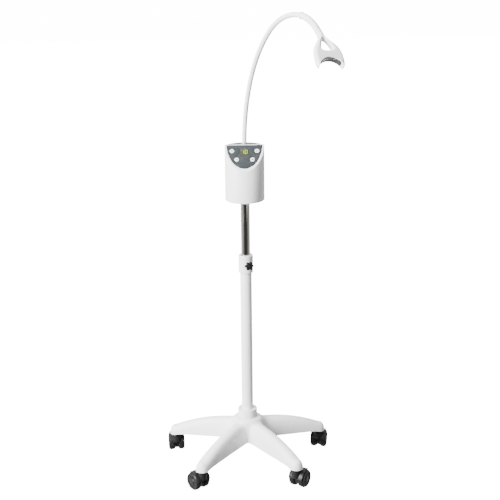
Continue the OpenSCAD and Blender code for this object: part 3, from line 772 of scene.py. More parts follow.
def starCage(s):
    points, faces = [], []
    reach = Vector(bosses[0][:2]).length / mm
    sector = math.tau / s["legs"]

    def ridge(x):
        return s["ridgeTop"] - s["ridgeRadius"] + math.sqrt(s["ridgeRadius"] ** 2 - (x - s["ridgeX"]) ** 2)

    def low(x):
        return s["lowHub"] + (s["lowTip"] - s["lowHub"]) * (x - s["hubX"]) / (reach - s["hubX"])

    def half(x):
        return s["hubHalf"] + (s["tipHalf"] - s["hubHalf"]) * (x - s["hubX"]) / (reach - s["hubX"])

    def section(x):
        top, bottom, wide = ridge(x), low(x), half(x)
        crest = min(s["crest"], wide * 0.86)
        return [(0, top), (crest * 0.62, top - crest * 0.13), (crest * 0.99, top - crest * 0.62),
                (crest + (wide - crest) * 0.55, (top + bottom) / 2 - 3), (wide, bottom + 1.5), (wide, bottom)]

    def put(leg, x, y, z):
        a = leg * sector + math.atan2(bosses[0].y, bosses[0].x)
        c, q = math.cos(a), math.sin(a)
        points.append(((x * c - y * q) * mm, (x * q + y * c) * mm, z * mm))
        return len(points) - 1

    def strip(a, b):
        for i in range(len(a) - 1):
            faces.append((a[i], a[i + 1], b[i + 1], b[i]))

    top = s["hubTop"]
    loops = [(s["hubHole"], top - 3), (s["hubHole"], top), (24, top), (34, top - 0.4), (40.5, top - 3.5),
             (44, top - 10)]
    stations = (s["rootX"], 66, 84, 108, 132, 158, 182, 202)
    for leg in range(s["legs"]):
        angles = [math.radians(a) for a in (-36, -24, -12, 0, 12, 24, 36)]
        rings = [[put(leg, r * math.cos(a), r * math.sin(a), z) for a in angles] for r, z in loops]
        for a, b in zip(rings, rings[1:]):
            strip(a, b)
        rows = []
        for x in stations:
            one = section(x)
            rows.append([put(leg, x, -y, z) for y, z in one[:0:-1]] + [put(leg, x, y, z) for y, z in one])
        # the boss at the tip: profile columns turned about the stem
        peak, bossHalf = ridge(reach), s["tipHalf"] + 0.4
        dome = [(0, peak - 1), (8, peak - 1.8), (14.6, peak - 7), (18.2, peak - 15),
                (bossHalf, s["footZ"] + 3), (bossHalf, s["footZ"])]
        pole = put(leg, reach, 0, dome[0][1])
        fan = []
        for a in (90, 60, 30, 0, -30, -60, -90):
            c, q = math.cos(math.radians(a)), math.sin(math.radians(a))
            fan.append([pole] + [put(leg, reach + r * c, r * q, z) for r, z in dome[1:]])
        rows.append([*fan[-1][:0:-1], *fan[0]])
        for a, b in zip(rows, rows[1:]):
            strip(a, b)
        for a, b in zip(fan, fan[1:]):
            faces.append((pole, a[1], b[1]))
            strip(a[1:], b[1:])
        # hub side between the legs
        edge = rings[-1]
        for side in (-1, 1):
            row = rows[0][5:] if side > 0 else rows[0][5::-1]
            ringSide = edge[3:] if side > 0 else edge[3::-1]
            faces.append((ringSide[0], ringSide[1], row[1], row[0]))
            faces.append((ringSide[1], ringSide[2], row[2], row[1]))
            mids = []
            for r, z, a in ((46.6, 108, 30), (49.6, s["lowHub"] + 1.5, 34.6), (49.8, s["lowHub"], 34.8)):
                t = math.radians(a) * side
                mids.append(put(leg, r * math.cos(t), r * math.sin(t), z))
            ends = []
            for r, z in ((46.2, 110), (49.2, s["lowHub"] + 1.5), (49.4, s["lowHub"])):
                t = math.radians(36) * side
                ends.append(put(leg, r * math.cos(t), r * math.sin(t), z))
            faces.append((ringSide[2], mids[0], row[3], row[2]))
            strip(mids, row[3:])
            faces.append((ringSide[2], ringSide[3], ends[0], mids[0]))
            strip(ends, mids)
    return points, faces


def makeStarBase(s):
    points, faces = starCage(s)
    ob = meshPiece("star_base_shell", points, faces)
    # a crease where each leg's walls meet the hub
    crease = ob.data.attributes.new("crease_edge", "FLOAT", "EDGE")
    for leg in bosses:
        along = Vector((leg.x, leg.y, 0)).normalized()
        atRoot = [abs(v.co.dot(along) - s["rootX"] * mm) < 1e-5 and abs(v.co.cross(along).z) > 6 * mm
                  for v in ob.data.vertices]
        for edge in ob.data.edges:
            if all(atRoot[i] for i in edge.vertices):
                crease.data[edge.index].value = s["rootCrease"]
    smooth = ob.modifiers.new("smooth", "SUBSURF")
    smooth.levels = smooth.render_levels = s["levels"]
    wall = ob.modifiers.new("wall", "SOLIDIFY")
    wall.thickness, wall.offset = s["wall"] * mm, -1
    wall.use_even_offset = True
    ob = smoothed(settled(ob), 40)
    mounted(ob, "base", "white_nylon", ("star_base",))
    core = lathe("hub_core", soft([(16.3, 96), (38, 90, 2), (46.5, 90, 1), (46.8, 93.5, 1), (24, 98, 3),
                                   (20, 104, 2), (19.6, 136), (16.3, 136)]), 96)
    mounted(core, "base", "white_nylon")
    foot = lathe("bossForm", soft([(8.12, 1), (17.6, 1, 0.5), (17.6, 4.2), (11.4, 4.2, 1), (11, 22),
                                   (8.12, 22)]), 56)
    spots = [(Vector((p.x, p.y, 60 * mm)), (0, 0, 1), (1, 0, 0)) for p in bosses]
    feet = repeated("leg_bosses", foot, spots, finish["white_nylon"])
    mounted(feet, "base", "white_nylon")
    # stiffening ribs under each leg
    rib = meshPiece("ribForm", *boxShape((-1.1, -0.5, 0), (1.1, 0.5, 1)))
    rib.data.transform(Matrix.Diagonal((1, 26, 14, 1)))
    ribSpots = []
    for p in bosses:
        along = Vector((p.x, p.y, 0)).normalized()
        for r, z in ((78, 92), (110, 87), (142, 80)):
            ribSpots.append((along * r * mm + Vector((0, 0, z * mm)), (0, 0, 1), tuple(along)))
    ribs = repeated("leg_ribs", rib, ribSpots, finish["white_nylon"])
    mounted(ribs, "base", "white_nylon")


def boxShape(low, high):
    x0, y0, z0 = (c * mm for c in low)
    x1, y1, z1 = (c * mm for c in high)
    points = [(x, y, z) for z in (z0, z1) for y in (y0, y1) for x in (x0, x1)]
    faces = [(0, 1, 3, 2), (4, 6, 7, 5), (0, 4, 5, 1), (2, 3, 7, 6), (0, 2, 6, 4), (1, 5, 7, 3)]
    return points, faces


makeStarBase(starBase)
print("star base done")

# pole

pole = {"outer": 15.98, "bore": 14.0, "tubeFoot": 101.0, "ringLow": 141.0, "ringHigh": 164.9, "ringGap": 0.17,
        "innerWall": 1.2, "segments": 128}


def makePole(s):
    low, high, bore = s["ringLow"], s["ringHigh"], s["outer"] + s["ringGap"]
    line = [(bore, low), (26.6, low, 1.0), (26.6, low + 3, 0.5), (27, low + 3.6, 0.5), (27, high, 1.6),
            (22.5, high, 0.5), (22, high - 1, 0.4), (bore, high - 1.3)]
    ring = lathe("pole_ring", soft(line), s["segments"])
    mounted(ring, "base", "white_plastic", ("hub_ring",))
    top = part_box("outer_tube")[1].z / mm
    outer = lathe("outer_column", soft([(s["bore"], s["tubeFoot"]), (s["outer"], s["tubeFoot"]),
                                        (s["outer"], top - 0.1, 0.4), (s["bore"] + 0.05, top - 0.1, 0.3)]),
                  s["segments"])
    mounted(outer, "base", "white_paint", ("outer_tube",))
    foot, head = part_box("inner_tube")
    radius, low, high = head.x / mm, foot.z / mm + 0.1, head.z / mm - 0.1
    inner = lathe("inner_column", soft([(radius - s["innerWall"], low), (radius, low, 0.4),
                                        (radius, high, 0.3), (radius - s["innerWall"], high)]), s["segments"])
    mounted(inner, "column", "chrome", ("inner_tube",))


makePole(pole)

collar = {"radius": 20.0, "low": 567.1, "high": 616.9, "step": 606.1, "bossRadius": 6.5}


def makeCollar(s):
    low, high, radius, step = s["low"], s["high"], s["radius"], s["step"]
    body = lathe("collarBody", soft([(16.15, low), (radius - 0.2, low, 2.0), (radius, low + 3, 0.5),
                                     (radius, high - 3, 0.5), (radius - 0.3, high, 2.4), (14.0, high, 1.0),
                                     (13.0, high - 1.5), (12.95, step + 0.2), (16.15, step)]), 128)
    knob = joints["knob_turn"]
    place = turned(Vector((0, 0, knob["pos_m"][2])), knob["axis"])
    boss = lathe("collarBoss", soft([(3.1, 16.5), (s["bossRadius"], 17.5), (s["bossRadius"], 22.4, 0.7),
                                     (3.1, 22.4)]), 64, place)
    ob = joined("lock_collar_body", (body, boss))
    smoothed(ob)
    mounted(ob, "base", "white_plastic", ("lock_collar",))


makeCollar(collar)

starKnob = {"grip": 12.8, "lobes": 6, "back": 23.1, "front": 33.4, "segments": 144}


def makeStarKnob(s):
    # rows are (share of the grip radius, depth of the lobes, height)
    back, front = s["back"], s["front"]
    rows = [(0.28, 0, back), (0.5, 0, back), (0.52, 0.02, back + 0.9), (0.86, 0.1, back + 0.95),
            (0.96, 0.13, back + 1.6), (1.0, 0.145, back + 2.8), (1.0, 0.145, front - 3.1),
            (0.97, 0.14, front - 1.7), (0.88, 0.125, front - 0.7), (0.74, 0.09, front - 0.4),
            (0.58, 0.03, front - 0.5), (0.52, 0, front - 1.1), (0.44, 0, front - 1.0),
            (0.4, 0, front - 0.1), (0.26, 0, front), (0.12, 0, front - 0.15)]
    points = []
    n = s["segments"]
    for share, depth, z in rows:
        for i in range(n):
            a = math.tau * i / n
            lobe = 0.5 + 0.5 * math.cos(s["lobes"] * a)
            r = s["grip"] * (share - 2 * depth * (1 - lobe ** 0.7))
            points.append((r * mm * math.cos(a), r * mm * math.sin(a), z * mm))
    faces = ringFaces(len(rows), n) + [tuple(range(n)), tuple(range((len(rows) - 1) * n, len(rows) * n))]
    ob = meshPiece("lock_star_knob", points, faces, 40)
    knob = joints["knob_turn"]
    ob.data.transform(turned(Vector((0, 0, knob["pos_m"][2])), knob["axis"]))
    mounted(ob, "lock_knob", "black_plastic", ("star_knob",))


makeStarKnob(starKnob)
print("pole, collar and knob done")

# casters

caster = {"wheel": 25.0, "tread": 18.0, "inner": 4.7, "ribs": 9, "segments": 96}


def makeWheel(name, k, side, s):
    joint = joints[f"spin_{'l' if side > 0 else 'r'}_{k}"]
    axis = Vector(joint["axis"]) * side
    half = s["tread"] / 2
    place = turned(Vector(joint["pos_m"]) + axis * (s["inner"] + half) * mm, axis)
    # the outer face is at +half, the inner one at -half
    body = lathe("wheelBody", soft([(3.2, -half), (7.8, -half, 0.4), (8.1, half - 6, 1), (19.5, half - 6, 1),
                                    (19.8, -half, 0.4), (21.6, -half, 1.5), (s["wheel"], -half + 3.2, 3.0),
                                    (s["wheel"] - 0.02, 0, 4), (s["wheel"], half - 3.2, 3.0), (22, half, 1.6),
                                    (20.2, half, 0.8), (19.2, half - 1.5, 0.8), (8.4, half - 1.7, 1.0),
                                    (7.2, half - 0.2, 0.8), (0, half - 0.05)])
                 + [(0, half - 2.6), (3.2, half - 2.6)], s["segments"])
    body.data.transform(place)
    rib = lathe("ribForm", soft([(0, -0.6), (1.0, -0.6, 0.3), (0.75, 0.75, 0.4), (0, 0.8)]), 10)
    rib.data.transform(Matrix.Diagonal((4.6, 0.62, 1, 1)))
    spots = []
    for i in range(s["ribs"]):
        a = math.tau * i / s["ribs"]
        out = Vector((math.cos(a), math.sin(a), 0))
        spots.append((place @ (out * 13.6 * mm + Vector((0, 0, (half - 1.2) * mm))), tuple(axis),
                      tuple(place.to_3x3() @ out)))
    ribs = repeated("wheelRibs", rib, spots, finish["wheel_black"])
    ob = joined(name, (body, ribs))
    smoothed(ob)
    body = f"wheel_{'l' if side > 0 else 'r'}_{k}"
    mounted(ob, body, "wheel_black", (f"wheel_{'left' if side > 0 else 'right'}_{k}",))


for k in range(1, 6):
    makeWheel(f"caster_wheel_left_{k}", k, 1, caster)
    makeWheel(f"caster_wheel_right_{k}", k, -1, caster)
    hood = softened(f"caster_hood_{k}", f"caster_hood_shell_{k}", 0.9, 40, 3)
    mounted(hood, f"caster_{k}", "black_plastic", (f"caster_hood_{k}",))
print("casters done")

# control box

onFace = {"edgeY": -3.0, "top": 922.0, "drop": 62.0, "run": 50.0, "keyRadius": 5.8, "displayDown": 21.9,
          "keys": {"power": (-33.2, 19.0), "start": (33.2, 19.0), "minus": (-20.8, 44.6),
                   "plus": (20.8, 44.6)}}
faceAngle = math.atan(onFace["drop"] / onFace["run"])
facePlace = (Matrix.Translation((0, onFace["edgeY"] * mm, onFace["top"] * mm))
             @ Matrix.Rotation(faceAngle, 4, "X"))


def barShape(x0, y0, x1, y1, z0, z1):
    return meshPiece("bar", *boxShape((min(x0, x1), min(y0, y1), z0), (max(x0, x1), max(y0, y1), z1)))


def arcBand(r0, r1, start, end, z0, z1, steps=28):
    points = []
    for i in range(steps + 1):
        a = math.radians(start + (end - start) * i / steps)
        for r, z in ((r0, z0), (r1, z0), (r1, z1), (r0, z1)):
            points.append((r * mm * math.cos(a), r * mm * math.sin(a), z * mm))
    ends = [(0, 1, 2, 3), tuple(steps * 4 + k for k in range(4))]
    return meshPiece("band", points, ringFaces(steps + 1, 4) + ends)


def keyMark(kind):
    low, high = 0.45, 1.0
    if kind == "power":
        parts = [arcBand(1.9, 2.9, 130, 410, low, high), barShape(-0.75, 0.2, 0.75, 3.5, low, high)]
    elif kind == "start":
        parts = [barShape(-0.85, -2.9, 0.85, 2.9, low, high), barShape(-2.2, -0.7, -0.85, 0.7, low, high)]
    elif kind == "minus":
        parts = [barShape(-3.0, -0.85, 3.0, 0.85, low, high)]
    else:
        parts = [barShape(-3.0, -0.85, 3.0, 0.85, low, high), barShape(-0.7, 0.85, 0.7, 2.2, low, high),
                 barShape(-0.7, -2.2, 0.7, -0.85, low, high)]
    return joined(f"key_mark_{kind}", parts)


def makeKeys(s):
    for kind, (x, down) in s["keys"].items():
        place = facePlace @ Matrix.Translation((x * mm, -down * mm, 0))
        line = soft([(0, -3.8), (6.9, -3.8), (6.9, -3.0), (s["keyRadius"], -2.9), (s["keyRadius"], 0.55, 0.6),
                     (5.0, 0.98, 0.7), (4.1, 0.86, 0.5), (0, 0.66)], ring=False)
        cap = lathe(f"key_{kind}", line, 72, place, ring=False)
        mounted(cap, f"{kind}_key", "button_white", (f"button_{kind}",))
        mark = keyMark(kind)
        mark.data.transform(place)
        mounted(mark, f"{kind}_key", "button_white", material=markInk)


makeKeys(onFace)

display = {"halfX": 11.2, "halfY": 10.1, "digitHeight": 10.4, "digitWidth": 5.6, "digitGap": 3.4, "bar": 1.35,
           "slant": 0.1, "figures": "10"}


def makeDisplay(s):
    place = facePlace @ Matrix.Translation((0, -onFace["displayDown"] * mm, 0))
    pane = meshPiece("display_pane", *boxShape((-s["halfX"], -s["halfY"], -1.3),
                                               (s["halfX"], s["halfY"], -0.12)))
    bevel = pane.modifiers.new("softEdges", "BEVEL")
    bevel.width, bevel.segments = 0.3 * mm, 2
    pane = smoothed(settled(pane))
    pane.data.transform(place)
    mounted(pane, "column", "window", ("display_window",))
    w, h, b = s["digitWidth"] / 2, s["digitHeight"] / 2, s["bar"] / 2
    lit = {"1": "bc", "0": "abcdef"}
    spot = {"a": (0, h, 1), "d": (0, -h, 1), "b": (w, h / 2, 0), "c": (w, -h / 2, 0), "e": (-w, -h / 2, 0),
            "f": (-w, h / 2, 0)}
    points, faces = [], []
    for n, figure in enumerate(s["figures"]):
        for name in lit[figure]:
            x, y, flat = spot[name]
            x += (n - 0.5) * (s["digitWidth"] + s["digitGap"])
            run = (w if flat else h / 2) - 0.25
            outline = [(-run, 0), (-run + b, b), (run - b, b), (run, 0), (run - b, -b), (-run + b, -b)]
            if not flat:
                outline = [(q, p) for p, q in outline]
            first = len(points)
            for z in (-0.3, -0.08):
                points += [((x + p + (y + q) * s["slant"]) * mm, (y + q) * mm, z * mm) for p, q in outline]
            faces += [tuple(range(first, first + 6)), tuple(range(first + 6, first + 12))]
            faces += ringFaces(2, 6, first)
    figures = meshPiece("display_figures", points, faces)
    figures.data.transform(place)
    mounted(figures, "column", "window", material=litSegments)


makeDisplay(display)
boxParts = {"housing": ("box_shell", 0.7, "white_plastic"), "face_plate": ("face_foil", 0.12, "slate_plate"),
            "top_cap": ("box_cap", 0.5, "grey_cap"), "tube_socket": ("box_floor", 0.6, "white_plastic"),
            "power_inlet": ("inlet_body", 0.2, "black_plastic")}
for node, (name, width, slotName) in boxParts.items():
    mounted(softened(node, name, width), "column", slotName, (node,))
print("control box done")

# gooseneck

neck = {"footY": 14.0, "footZ": 934.0, "azimuth": -60.0, "heading": 87.5, "section": 162.0,
        "bends": (20.0, 25.0, 46.0), "bootLength": 90.0, "bootBend": 42.0, "startRadius": 6.2,
        "endRadius": 6.6, "ringDepth": 0.035, "ringsPerMm": 2.2, "stationsPerMm": 2, "sides": 48,
        "bootRadius": 8.1}
bootRoot = 3 * neck["section"]
headRoot = bootRoot + neck["bootLength"]
neckPlane = math.radians(neck["azimuth"])


def neckSpot(s):
    # the point and the direction at a distance along the neck from its root
    aside = Vector((math.cos(neckPlane), math.sin(neckPlane), 0))
    heading = math.radians(neck["heading"])
    spot = Vector((0, neck["footY"], neck["footZ"]))

    def way(h):
        return aside * math.cos(h) + Vector((0, 0, math.sin(h)))

    arcs = [(neck["section"], b) for b in neck["bends"]] + [(neck["bootLength"], neck["bootBend"])]
    if s > 0:
        for length, bend in arcs:
            step = min(s, length)
            turnBy = math.radians(bend) * step / length
            chord = 2 * length / math.radians(bend) * math.sin(turnBy / 2)
            spot += way(heading - turnBy / 2) * chord
            heading -= turnBy
            s -= step
    return (spot + way(heading) * s) * mm, way(heading)


def makeSleeve(name, start, end, bodies, bendAt, reach, replaced):
    path = [neckSpot(start + (end - start) * i / 80)[0] for i in range(81)]
    grow = neck["endRadius"] - neck["startRadius"]
    radii = [(neck["startRadius"] + grow * max(s, 0) / bootRoot) * mm for s in (start, end)]
    length = end - start
    sleeve = swept(name, path, {"Start Radius": radii[0], "End Radius": radii[1],
                                "Ring Depth": neck["ringDepth"] * mm,
                                "Ring Count": length * neck["ringsPerMm"],
                                "Stations": int(length * neck["stationsPerMm"]), "Sides": neck["sides"],
                                "Material": finish["sleeve_white"]})
    painted(sleeve, finish["sleeve_white"])
    tuple(neckSpot(bendAt - reach[0])[0])
    tuple(neckSpot(bendAt + reach[1])[0])
    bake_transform(sleeve)
    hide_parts(*replaced)


def alongNeck(name, stations, sides=56, sharp=40):
    # a round form along the neck, from distances and radii; past the neck's end it follows the head's bow
    binormal = Vector((math.sin(neckPlane), -math.cos(neckPlane), 0))
    points = []

    def spot(s):
        if s <= headRoot:
            return neckSpot(s)[0]
        return headPlace @ Vector((0, bowed(s - headRoot) * mm, (headRoot - s) * mm))

    for s, r in stations:
        t = (spot(s + 0.5) - spot(s - 0.5)).normalized()
        n = binormal.cross(t).normalized()
        b = t.cross(n)
        for i in range(sides):
            a = math.tau * i / sides
            points.append(spot(s) + (n * math.cos(a) + b * math.sin(a)) * r * mm)
    ends = [tuple(range(sides)), tuple(range((len(stations) - 1) * sides, len(stations) * sides))]
    return meshPiece(name, points, ringFaces(len(stations), sides) + ends, sharp)


# lamp head

# outline and hole are pairs of distance down the head and half width
head = {"half": 9.0, "bowAt": 60.0, "bow": 8.0, "angles": (-48.0, 3.5, 19.0), "mouthRadius": 31.0,
        "mouthDown": 117.0, "edge": 8.7, "holeEdge": 7.0, "mouthEdge": 1.2, "seam": 0.12, "lip": 0.6,
        "slotHalf": 7.2, "slotDeep": 13.5, "slotAngle": 57.0, "sidePoints": 70, "arcPoints": 44, "rows": 30,
        "outline": ((9, 7), (22, 11), (35, 19), (47, 27), (59, 32.5), (72, 35.5), (86, 36.5), (97, 36.0),
                    (104, 34.4), (108, 32.0)),
        "hole": ((25, 0.5), (28.5, 4.2), (40, 8.6), (50, 11.4), (58, 13.2), (61.5, 11.6), (63.5, 7),
                 (64, 0.5))}
headTurn = [math.radians(a) for a in head["angles"]]
headPlace = (Matrix.Translation(neckSpot(headRoot)[0]) @ Matrix.Rotation(headTurn[2], 4, "Z")
             @ Matrix.Rotation(headTurn[1], 4, "Y") @ Matrix.Rotation(headTurn[0], 4, "X"))


def bowed(v):
    # how far the plate's middle lies towards the back at a distance down the head
    radius = (head["bowAt"] ** 2 + head["bow"] ** 2) / (2 * head["bow"])
    return -head["bow"] + (v - head["bowAt"]) ** 2 / (2 * radius)


def fairCurve(given, count):
    # evenly spaced points on a smooth curve through the given ones
    pts = [Vector((p[1], p[0])) for p in given]
    fine = []
    for i in range(len(pts) - 1):
        a, b, c, d = pts[max(i - 1, 0)], pts[i], pts[i + 1], pts[min(i + 2, len(pts) - 1)]
        for k in range(24):
            t = k / 24
            fine.append(0.5 * (2 * b + (c - a) * t + (2 * a - 5 * b + 4 * c - d) * t * t
                               + (3 * b - a - 3 * c + d) * t ** 3))
    return evenly(fine + [pts[-1]], count)


def evenly(line, count):
    run = [0.0]
    for p, q in zip(line, line[1:]):
        run.append(run[-1] + (q - p).length)
    out, k = [], 0
    for i in range(count):
        want = run[-1] * i / (count - 1)
        while k < len(line) - 2 and run[k + 1] < want:
            k += 1
        share = (want - run[k]) / max(run[k + 1] - run[k], 1e-9)
        out.append(line[k].lerp(line[k + 1], min(share, 1)))
    return out


def edgeDistance(points, line):
    # each point's distance to a chain of straight pieces
    best = np.full(len(points), 1e9)
    for p, q in zip(line, line[1:]):
        p, d = np.array(p), np.array(q - p)
        t = np.clip(((points - p) @ d) / max(d @ d, 1e-12), 0, 1)
        best = np.minimum(best, np.linalg.norm(points - p - t[:, None] * d, axis=1))
    return best


def headPlan(s):
    side, arc, rows = s["sidePoints"], s["arcPoints"], s["rows"]
    tipAngle = math.acos((s["mouthDown"] - s["outline"][-1][0]) / s["mouthRadius"])
    flank = evenly([Vector((0, s["outline"][0][0]))] + fairCurve(s["outline"], 140), side)
    mouthAngles = [tipAngle * (1 - i / (arc - 1)) for i in range(arc)]
    mouth = [Vector((s["mouthRadius"] * math.sin(a), s["mouthDown"] - s["mouthRadius"] * math.cos(a)))
             for a in mouthAngles]
    window = fairCurve(s["hole"], 400)
    corner = max(range(len(window)), key=lambda i: window[i][0] + 0.35 * window[i][1])
    apex = [Vector((0, window[0][1]))] + window[:corner + 1]
    under = window[corner:] + [Vector((0, window[-1][1]))]
    inner = evenly(apex, side) + evenly(under, arc)
    outer = flank + mouth
    outer += [Vector((-p[0], p[1])) for p in reversed(outer[1:-1])]
    inner += [Vector((-p[0], p[1])) for p in reversed(inner[1:-1])]
    grid = []
    for k in range(rows + 1):
        share = 0.5 - 0.5 * math.cos(math.pi * k / rows)
        grid += [p.lerp(q, share) for p, q in zip(outer, inner)]
    plan = np.array([(p[0], p[1]) for p in grid])
    flankLine = fairCurve(s["outline"], 200)
    flat = np.abs(plan) * (1, 1)
    toFlank = edgeDistance(flat, [Vector((0, s["outline"][0][0]))] + flankLine)
    toMouth = np.hypot(plan[:, 0], plan[:, 1] - s["mouthDown"]) - s["mouthRadius"]
    toHole = edgeDistance(flat, window)

    def rounded(d, r, full):
        share = np.clip(d / r, 0, 1)
        return full * np.sqrt(1 - (1 - share) ** 2)

    seam = s["seam"]
    thick = seam + rounded(toFlank, s["edge"], s["half"] - seam)
    for distance, edge in ((toHole, s["holeEdge"]), (toMouth, s["mouthEdge"])):
        thick = np.minimum(thick, s["half"] - edge + rounded(distance, edge, edge))
    angle = np.degrees(np.arctan2(np.abs(plan[:, 0]), s["mouthDown"] - plan[:, 1]))
    inSlot = (toMouth < s["slotDeep"]) & (angle < s["slotAngle"])
    under = np.where(inSlot, np.maximum(np.minimum(thick - s["lip"], s["slotHalf"]), seam), seam)
    return plan, np.maximum(thick, under), under, len(outer), rows


def makeHeadShell(name, sign, node):
    plan, thick, under, around, rows = headPlan(head)
    count = len(plan)
    points = [(x * mm, (bowed(v) + sign * t) * mm, -v * mm) for layer in (thick, under)
              for (x, v), t in zip(plan, layer)]
    faces = ringFaces(rows + 1, around) + ringFaces(rows + 1, around, count)
    for k in (0, rows * around):
        for i in range(around):
            j = (i + 1) % around
            faces.append((k + i, k + j, count + k + j, count + k + i))
    shell = meshPiece(name, points, faces, 40)
    shell.data.transform(headPlace)
    mounted(shell, "head", "white_plastic", (node,))


# each sleeve's name, start and end, the bodies it joins, where it bends and how far the bend reaches
sleeves = (("gooseneck_root", -15, 81, ("column", "neck_1"), 0, (12, 30), ("neck_sleeve_1",)),
           ("gooseneck_lower", 81, 243, ("neck_1", "neck_2"), 162, (26, 26), ("neck_sleeve_2",)),
           ("gooseneck_upper", 243, 405, ("neck_2", "neck_3"), 324, (26, 26), ("neck_sleeve_3",)),
           ("gooseneck_tip", 405, 499, ("neck_3", "head"), 486, (25, 8), ()))
for sleeveRow in sleeves:
    makeSleeve(*sleeveRow)
# the boot from its collar, past a ring groove, to its end inside the head
collarLine = ((1.2, 6.75), (1.2, 7.9), (1.5, 8.4), (2.2, 8.75), (3.2, 8.9), (5.4, 8.9), (6.5, 8.7),
              (7.2, 8.35), (7.8, 8.1))
grooveLine = ((77.6, 8.12), (78.4, 8.02), (78.9, 7.7), (80.0, 7.6), (81.1, 7.7), (81.6, 8.02),
              (82.4, 8.2), (86, 8.3), (90, 8.4))
endLine = ((94, 8.5), (98, 8.5), (102, 8.3), (106, 7.8), (110, 7.0), (114, 5.5), (116, 3.5))
shaftLine = tuple((8.5 + i * 2.0, neck["bootRadius"]) for i in range(34))
bootLine = [(bootRoot + along, radius) for along, radius in collarLine + shaftLine + grooveLine + endLine]
mounted(alongNeck("neck_boot", bootLine), "head", "sleeve_white", ("head_boot",))
makeHeadShell("head_front", -1, "front_shell")
makeHeadShell("head_back", 1, "back_shell")


band = {"radii": (35.6, 36.0), "angle": 53, "half": 6.6, "steps": 60, "forward": -1.0, "tilt": 10.0}


def makeReflector(s):
    points, faces, steps = [], [], s["steps"]
    for r in s["radii"]:
        for i in range(steps + 1):
            a = math.radians(s["angle"] * (2 * i / steps - 1))
            points += [(r * math.sin(a) * mm, y * mm, r * math.cos(a) * mm) for y in (-s["half"], s["half"])]
    ring = 2 * (steps + 1)
    for base in (0, ring):
        faces += [(base + 2 * i, base + 2 * i + 1, base + 2 * i + 3, base + 2 * i + 2) for i in range(steps)]
    for side in (0, 1):
        faces += [(i, i + 2, ring + i + 2, ring + i) for i in range(side, 2 * steps + side, 2)]
    for i in (0, steps):
        faces.append((2 * i, 2 * i + 1, ring + 2 * i + 1, ring + 2 * i))
    ob = meshPiece("diode_reflector", points, faces)
    ob.data.transform(headPlace @ Matrix.Translation((0, s["forward"] * mm, -head["mouthDown"] * mm))
                      @ Matrix.Rotation(math.radians(s["tilt"]), 4, "X"))
    mounted(ob, "head", "aluminium", material=reflector)


makeReflector(band)
print("gooseneck and lamp head done")

# finishes of the carried-over nodes

slotOf = {row["node"]: row["material_slot"] for row in frame["record"]["subparts"]}
for node, ob in frame["nodes"].items():
    painted(ob, finish[slotOf[node]])

# floor and light


def makeStage(s):
    half = s["floorSize"]
    corners = ((-half, -half), (half, -half), (half, half), (-half, half))
    floor = meshPiece("studio_floor", [(x, y, -s["floorDown"]) for x, y in corners], [(0, 1, 2, 3)])
    material, nodes, links = blankMaterial("paleFloor")
    floorFrame = framed(nodes, "pale paper floor")
    place = nodes.new("ShaderNodeTexCoord")
    place.label = "place on the floor"
    mottle = nodes.new("ShaderNodeTexNoise")
    mottle.label = "paper tone"
    mottle.inputs["Scale"].default_value = 3.0
    ramp = nodes.new("ShaderNodeValToRGB")
    ramp.label = "pale tones"
    ramp.color_ramp.elements[0].color = (0.93, 0.93, 0.93, 1)
    ramp.color_ramp.elements[1].color = (0.96, 0.96, 0.96, 1)
    shader = nodes.new("ShaderNodeBsdfPrincipled")
    shader.label = "matt paper"
    shader.inputs["Roughness"].default_value = 0.9
    shader.inputs["Specular IOR Level"].default_value = 0.1
    shader.inputs["Emission Color"].default_value = (1, 1, 1, 1)
    shader.inputs["Emission Strength"].default_value = s["background"]
    out = nodes.new("ShaderNodeOutputMaterial")
    out.label = "surface"
    spread([(floorFrame, (place, mottle, ramp)), (None, (shader, out))])
    links.new(place.outputs["Object"], mottle.inputs["Vector"])
    links.new(mottle.outputs["Fac"], ramp.inputs["Fac"])
    links.new(ramp.outputs["Color"], shader.inputs["Base Color"])
    links.new(shader.outputs["BSDF"], out.inputs["Surface"])
    painted(floor, material)
    floor.visible_diffuse = floor.visible_glossy = floor.visible_transmission = False


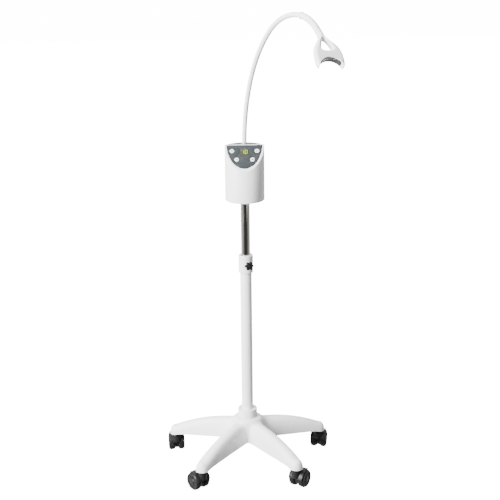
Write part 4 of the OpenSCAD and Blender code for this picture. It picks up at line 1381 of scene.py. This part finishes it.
def makeWorld(s):
    world = bpy.data.worlds.new("studio")
    bpy.context.scene.world = world
    world.use_nodes = True
    nodes, links = world.node_tree.nodes, world.node_tree.links
    nodes.clear()
    place = nodes.new("ShaderNodeTexCoord")
    place.label = "direction"
    axes = nodes.new("ShaderNodeSeparateXYZ")
    axes.label = "sides and front"
    sideTone = nodes.new("ShaderNodeMapRange")
    sideTone.label = "left bright, right dim"
    sideTone.inputs["From Min"].default_value = -1.0
    sideTone.inputs["To Min"].default_value = 1.0
    sideTone.inputs["To Max"].default_value = 0.5
    frontTone = nodes.new("ShaderNodeMapRange")
    frontTone.label = "dim behind the camera"
    frontTone.inputs["From Min"].default_value = -0.9
    frontTone.inputs["From Max"].default_value = 0.9
    frontTone.inputs["To Min"].default_value = 0.04
    both = nodes.new("ShaderNodeMath")
    both.label = "both tones"
    both.operation = "MULTIPLY"
    power = nodes.new("ShaderNodeMath")
    power.label = "room strength"
    power.operation = "MULTIPLY"
    power.inputs[1].default_value = s["room"]
    seen = nodes.new("ShaderNodeLightPath")
    seen.label = "backdrop or room"
    room = nodes.new("ShaderNodeBackground")
    room.label = "room light"
    backdrop = nodes.new("ShaderNodeBackground")
    backdrop.label = "white backdrop"
    backdrop.inputs["Strength"].default_value = 1.2 * s["background"]
    choose = nodes.new("ShaderNodeMixShader")
    choose.label = "backdrop behind the lamp"
    out = nodes.new("ShaderNodeOutputWorld")
    out.label = "studio"
    inRow((place, axes, sideTone, frontTone, both, power, seen, room, backdrop, choose, out))
    links.new(place.outputs["Generated"], axes.inputs["Vector"])
    links.new(axes.outputs["X"], sideTone.inputs["Value"])
    links.new(axes.outputs["Y"], frontTone.inputs["Value"])
    links.new(sideTone.outputs["Result"], both.inputs[0])
    links.new(frontTone.outputs["Result"], both.inputs[1])
    links.new(both.outputs["Value"], power.inputs[0])
    links.new(power.outputs["Value"], room.inputs["Strength"])
    links.new(seen.outputs["Is Camera Ray"], choose.inputs["Fac"])
    links.new(room.outputs["Background"], choose.inputs[1])
    links.new(backdrop.outputs["Background"], choose.inputs[2])
    links.new(choose.outputs["Shader"], out.inputs["Surface"])


def softbox(name, place, target, width, height, watts):
    data = bpy.data.lights.new(name, "AREA")
    data.shape, data.size, data.size_y, data.energy = "RECTANGLE", width, height, watts
    ob = bpy.data.objects.new(name, data)
    ob.location = place
    ob.rotation_euler = (Vector(target) - Vector(place)).to_track_quat("-Z", "Y").to_euler()
    bpy.context.scene.collection.objects.link(ob)


studio = {"background": 16.0, "room": 2.9, "key": 760.0, "fill": 12.0, "top": 90.0, "floorSize": 12.0,
          "floorDown": 0.0004}
makeStage(studio)
makeWorld(studio)
softbox("keyLight", (-2.6, -2.2, 1.9), (0, 0, 0.6), 1.4, 2.4, studio["key"])
softbox("fillLight", (2.4, -2.4, 1.2), (0, 0, 0.6), 0.8, 2.0, studio["fill"])
softbox("topLight", (-0.4, 0.5, 3.4), (0, 0, 0.4), 2.6, 2.6, studio["top"])
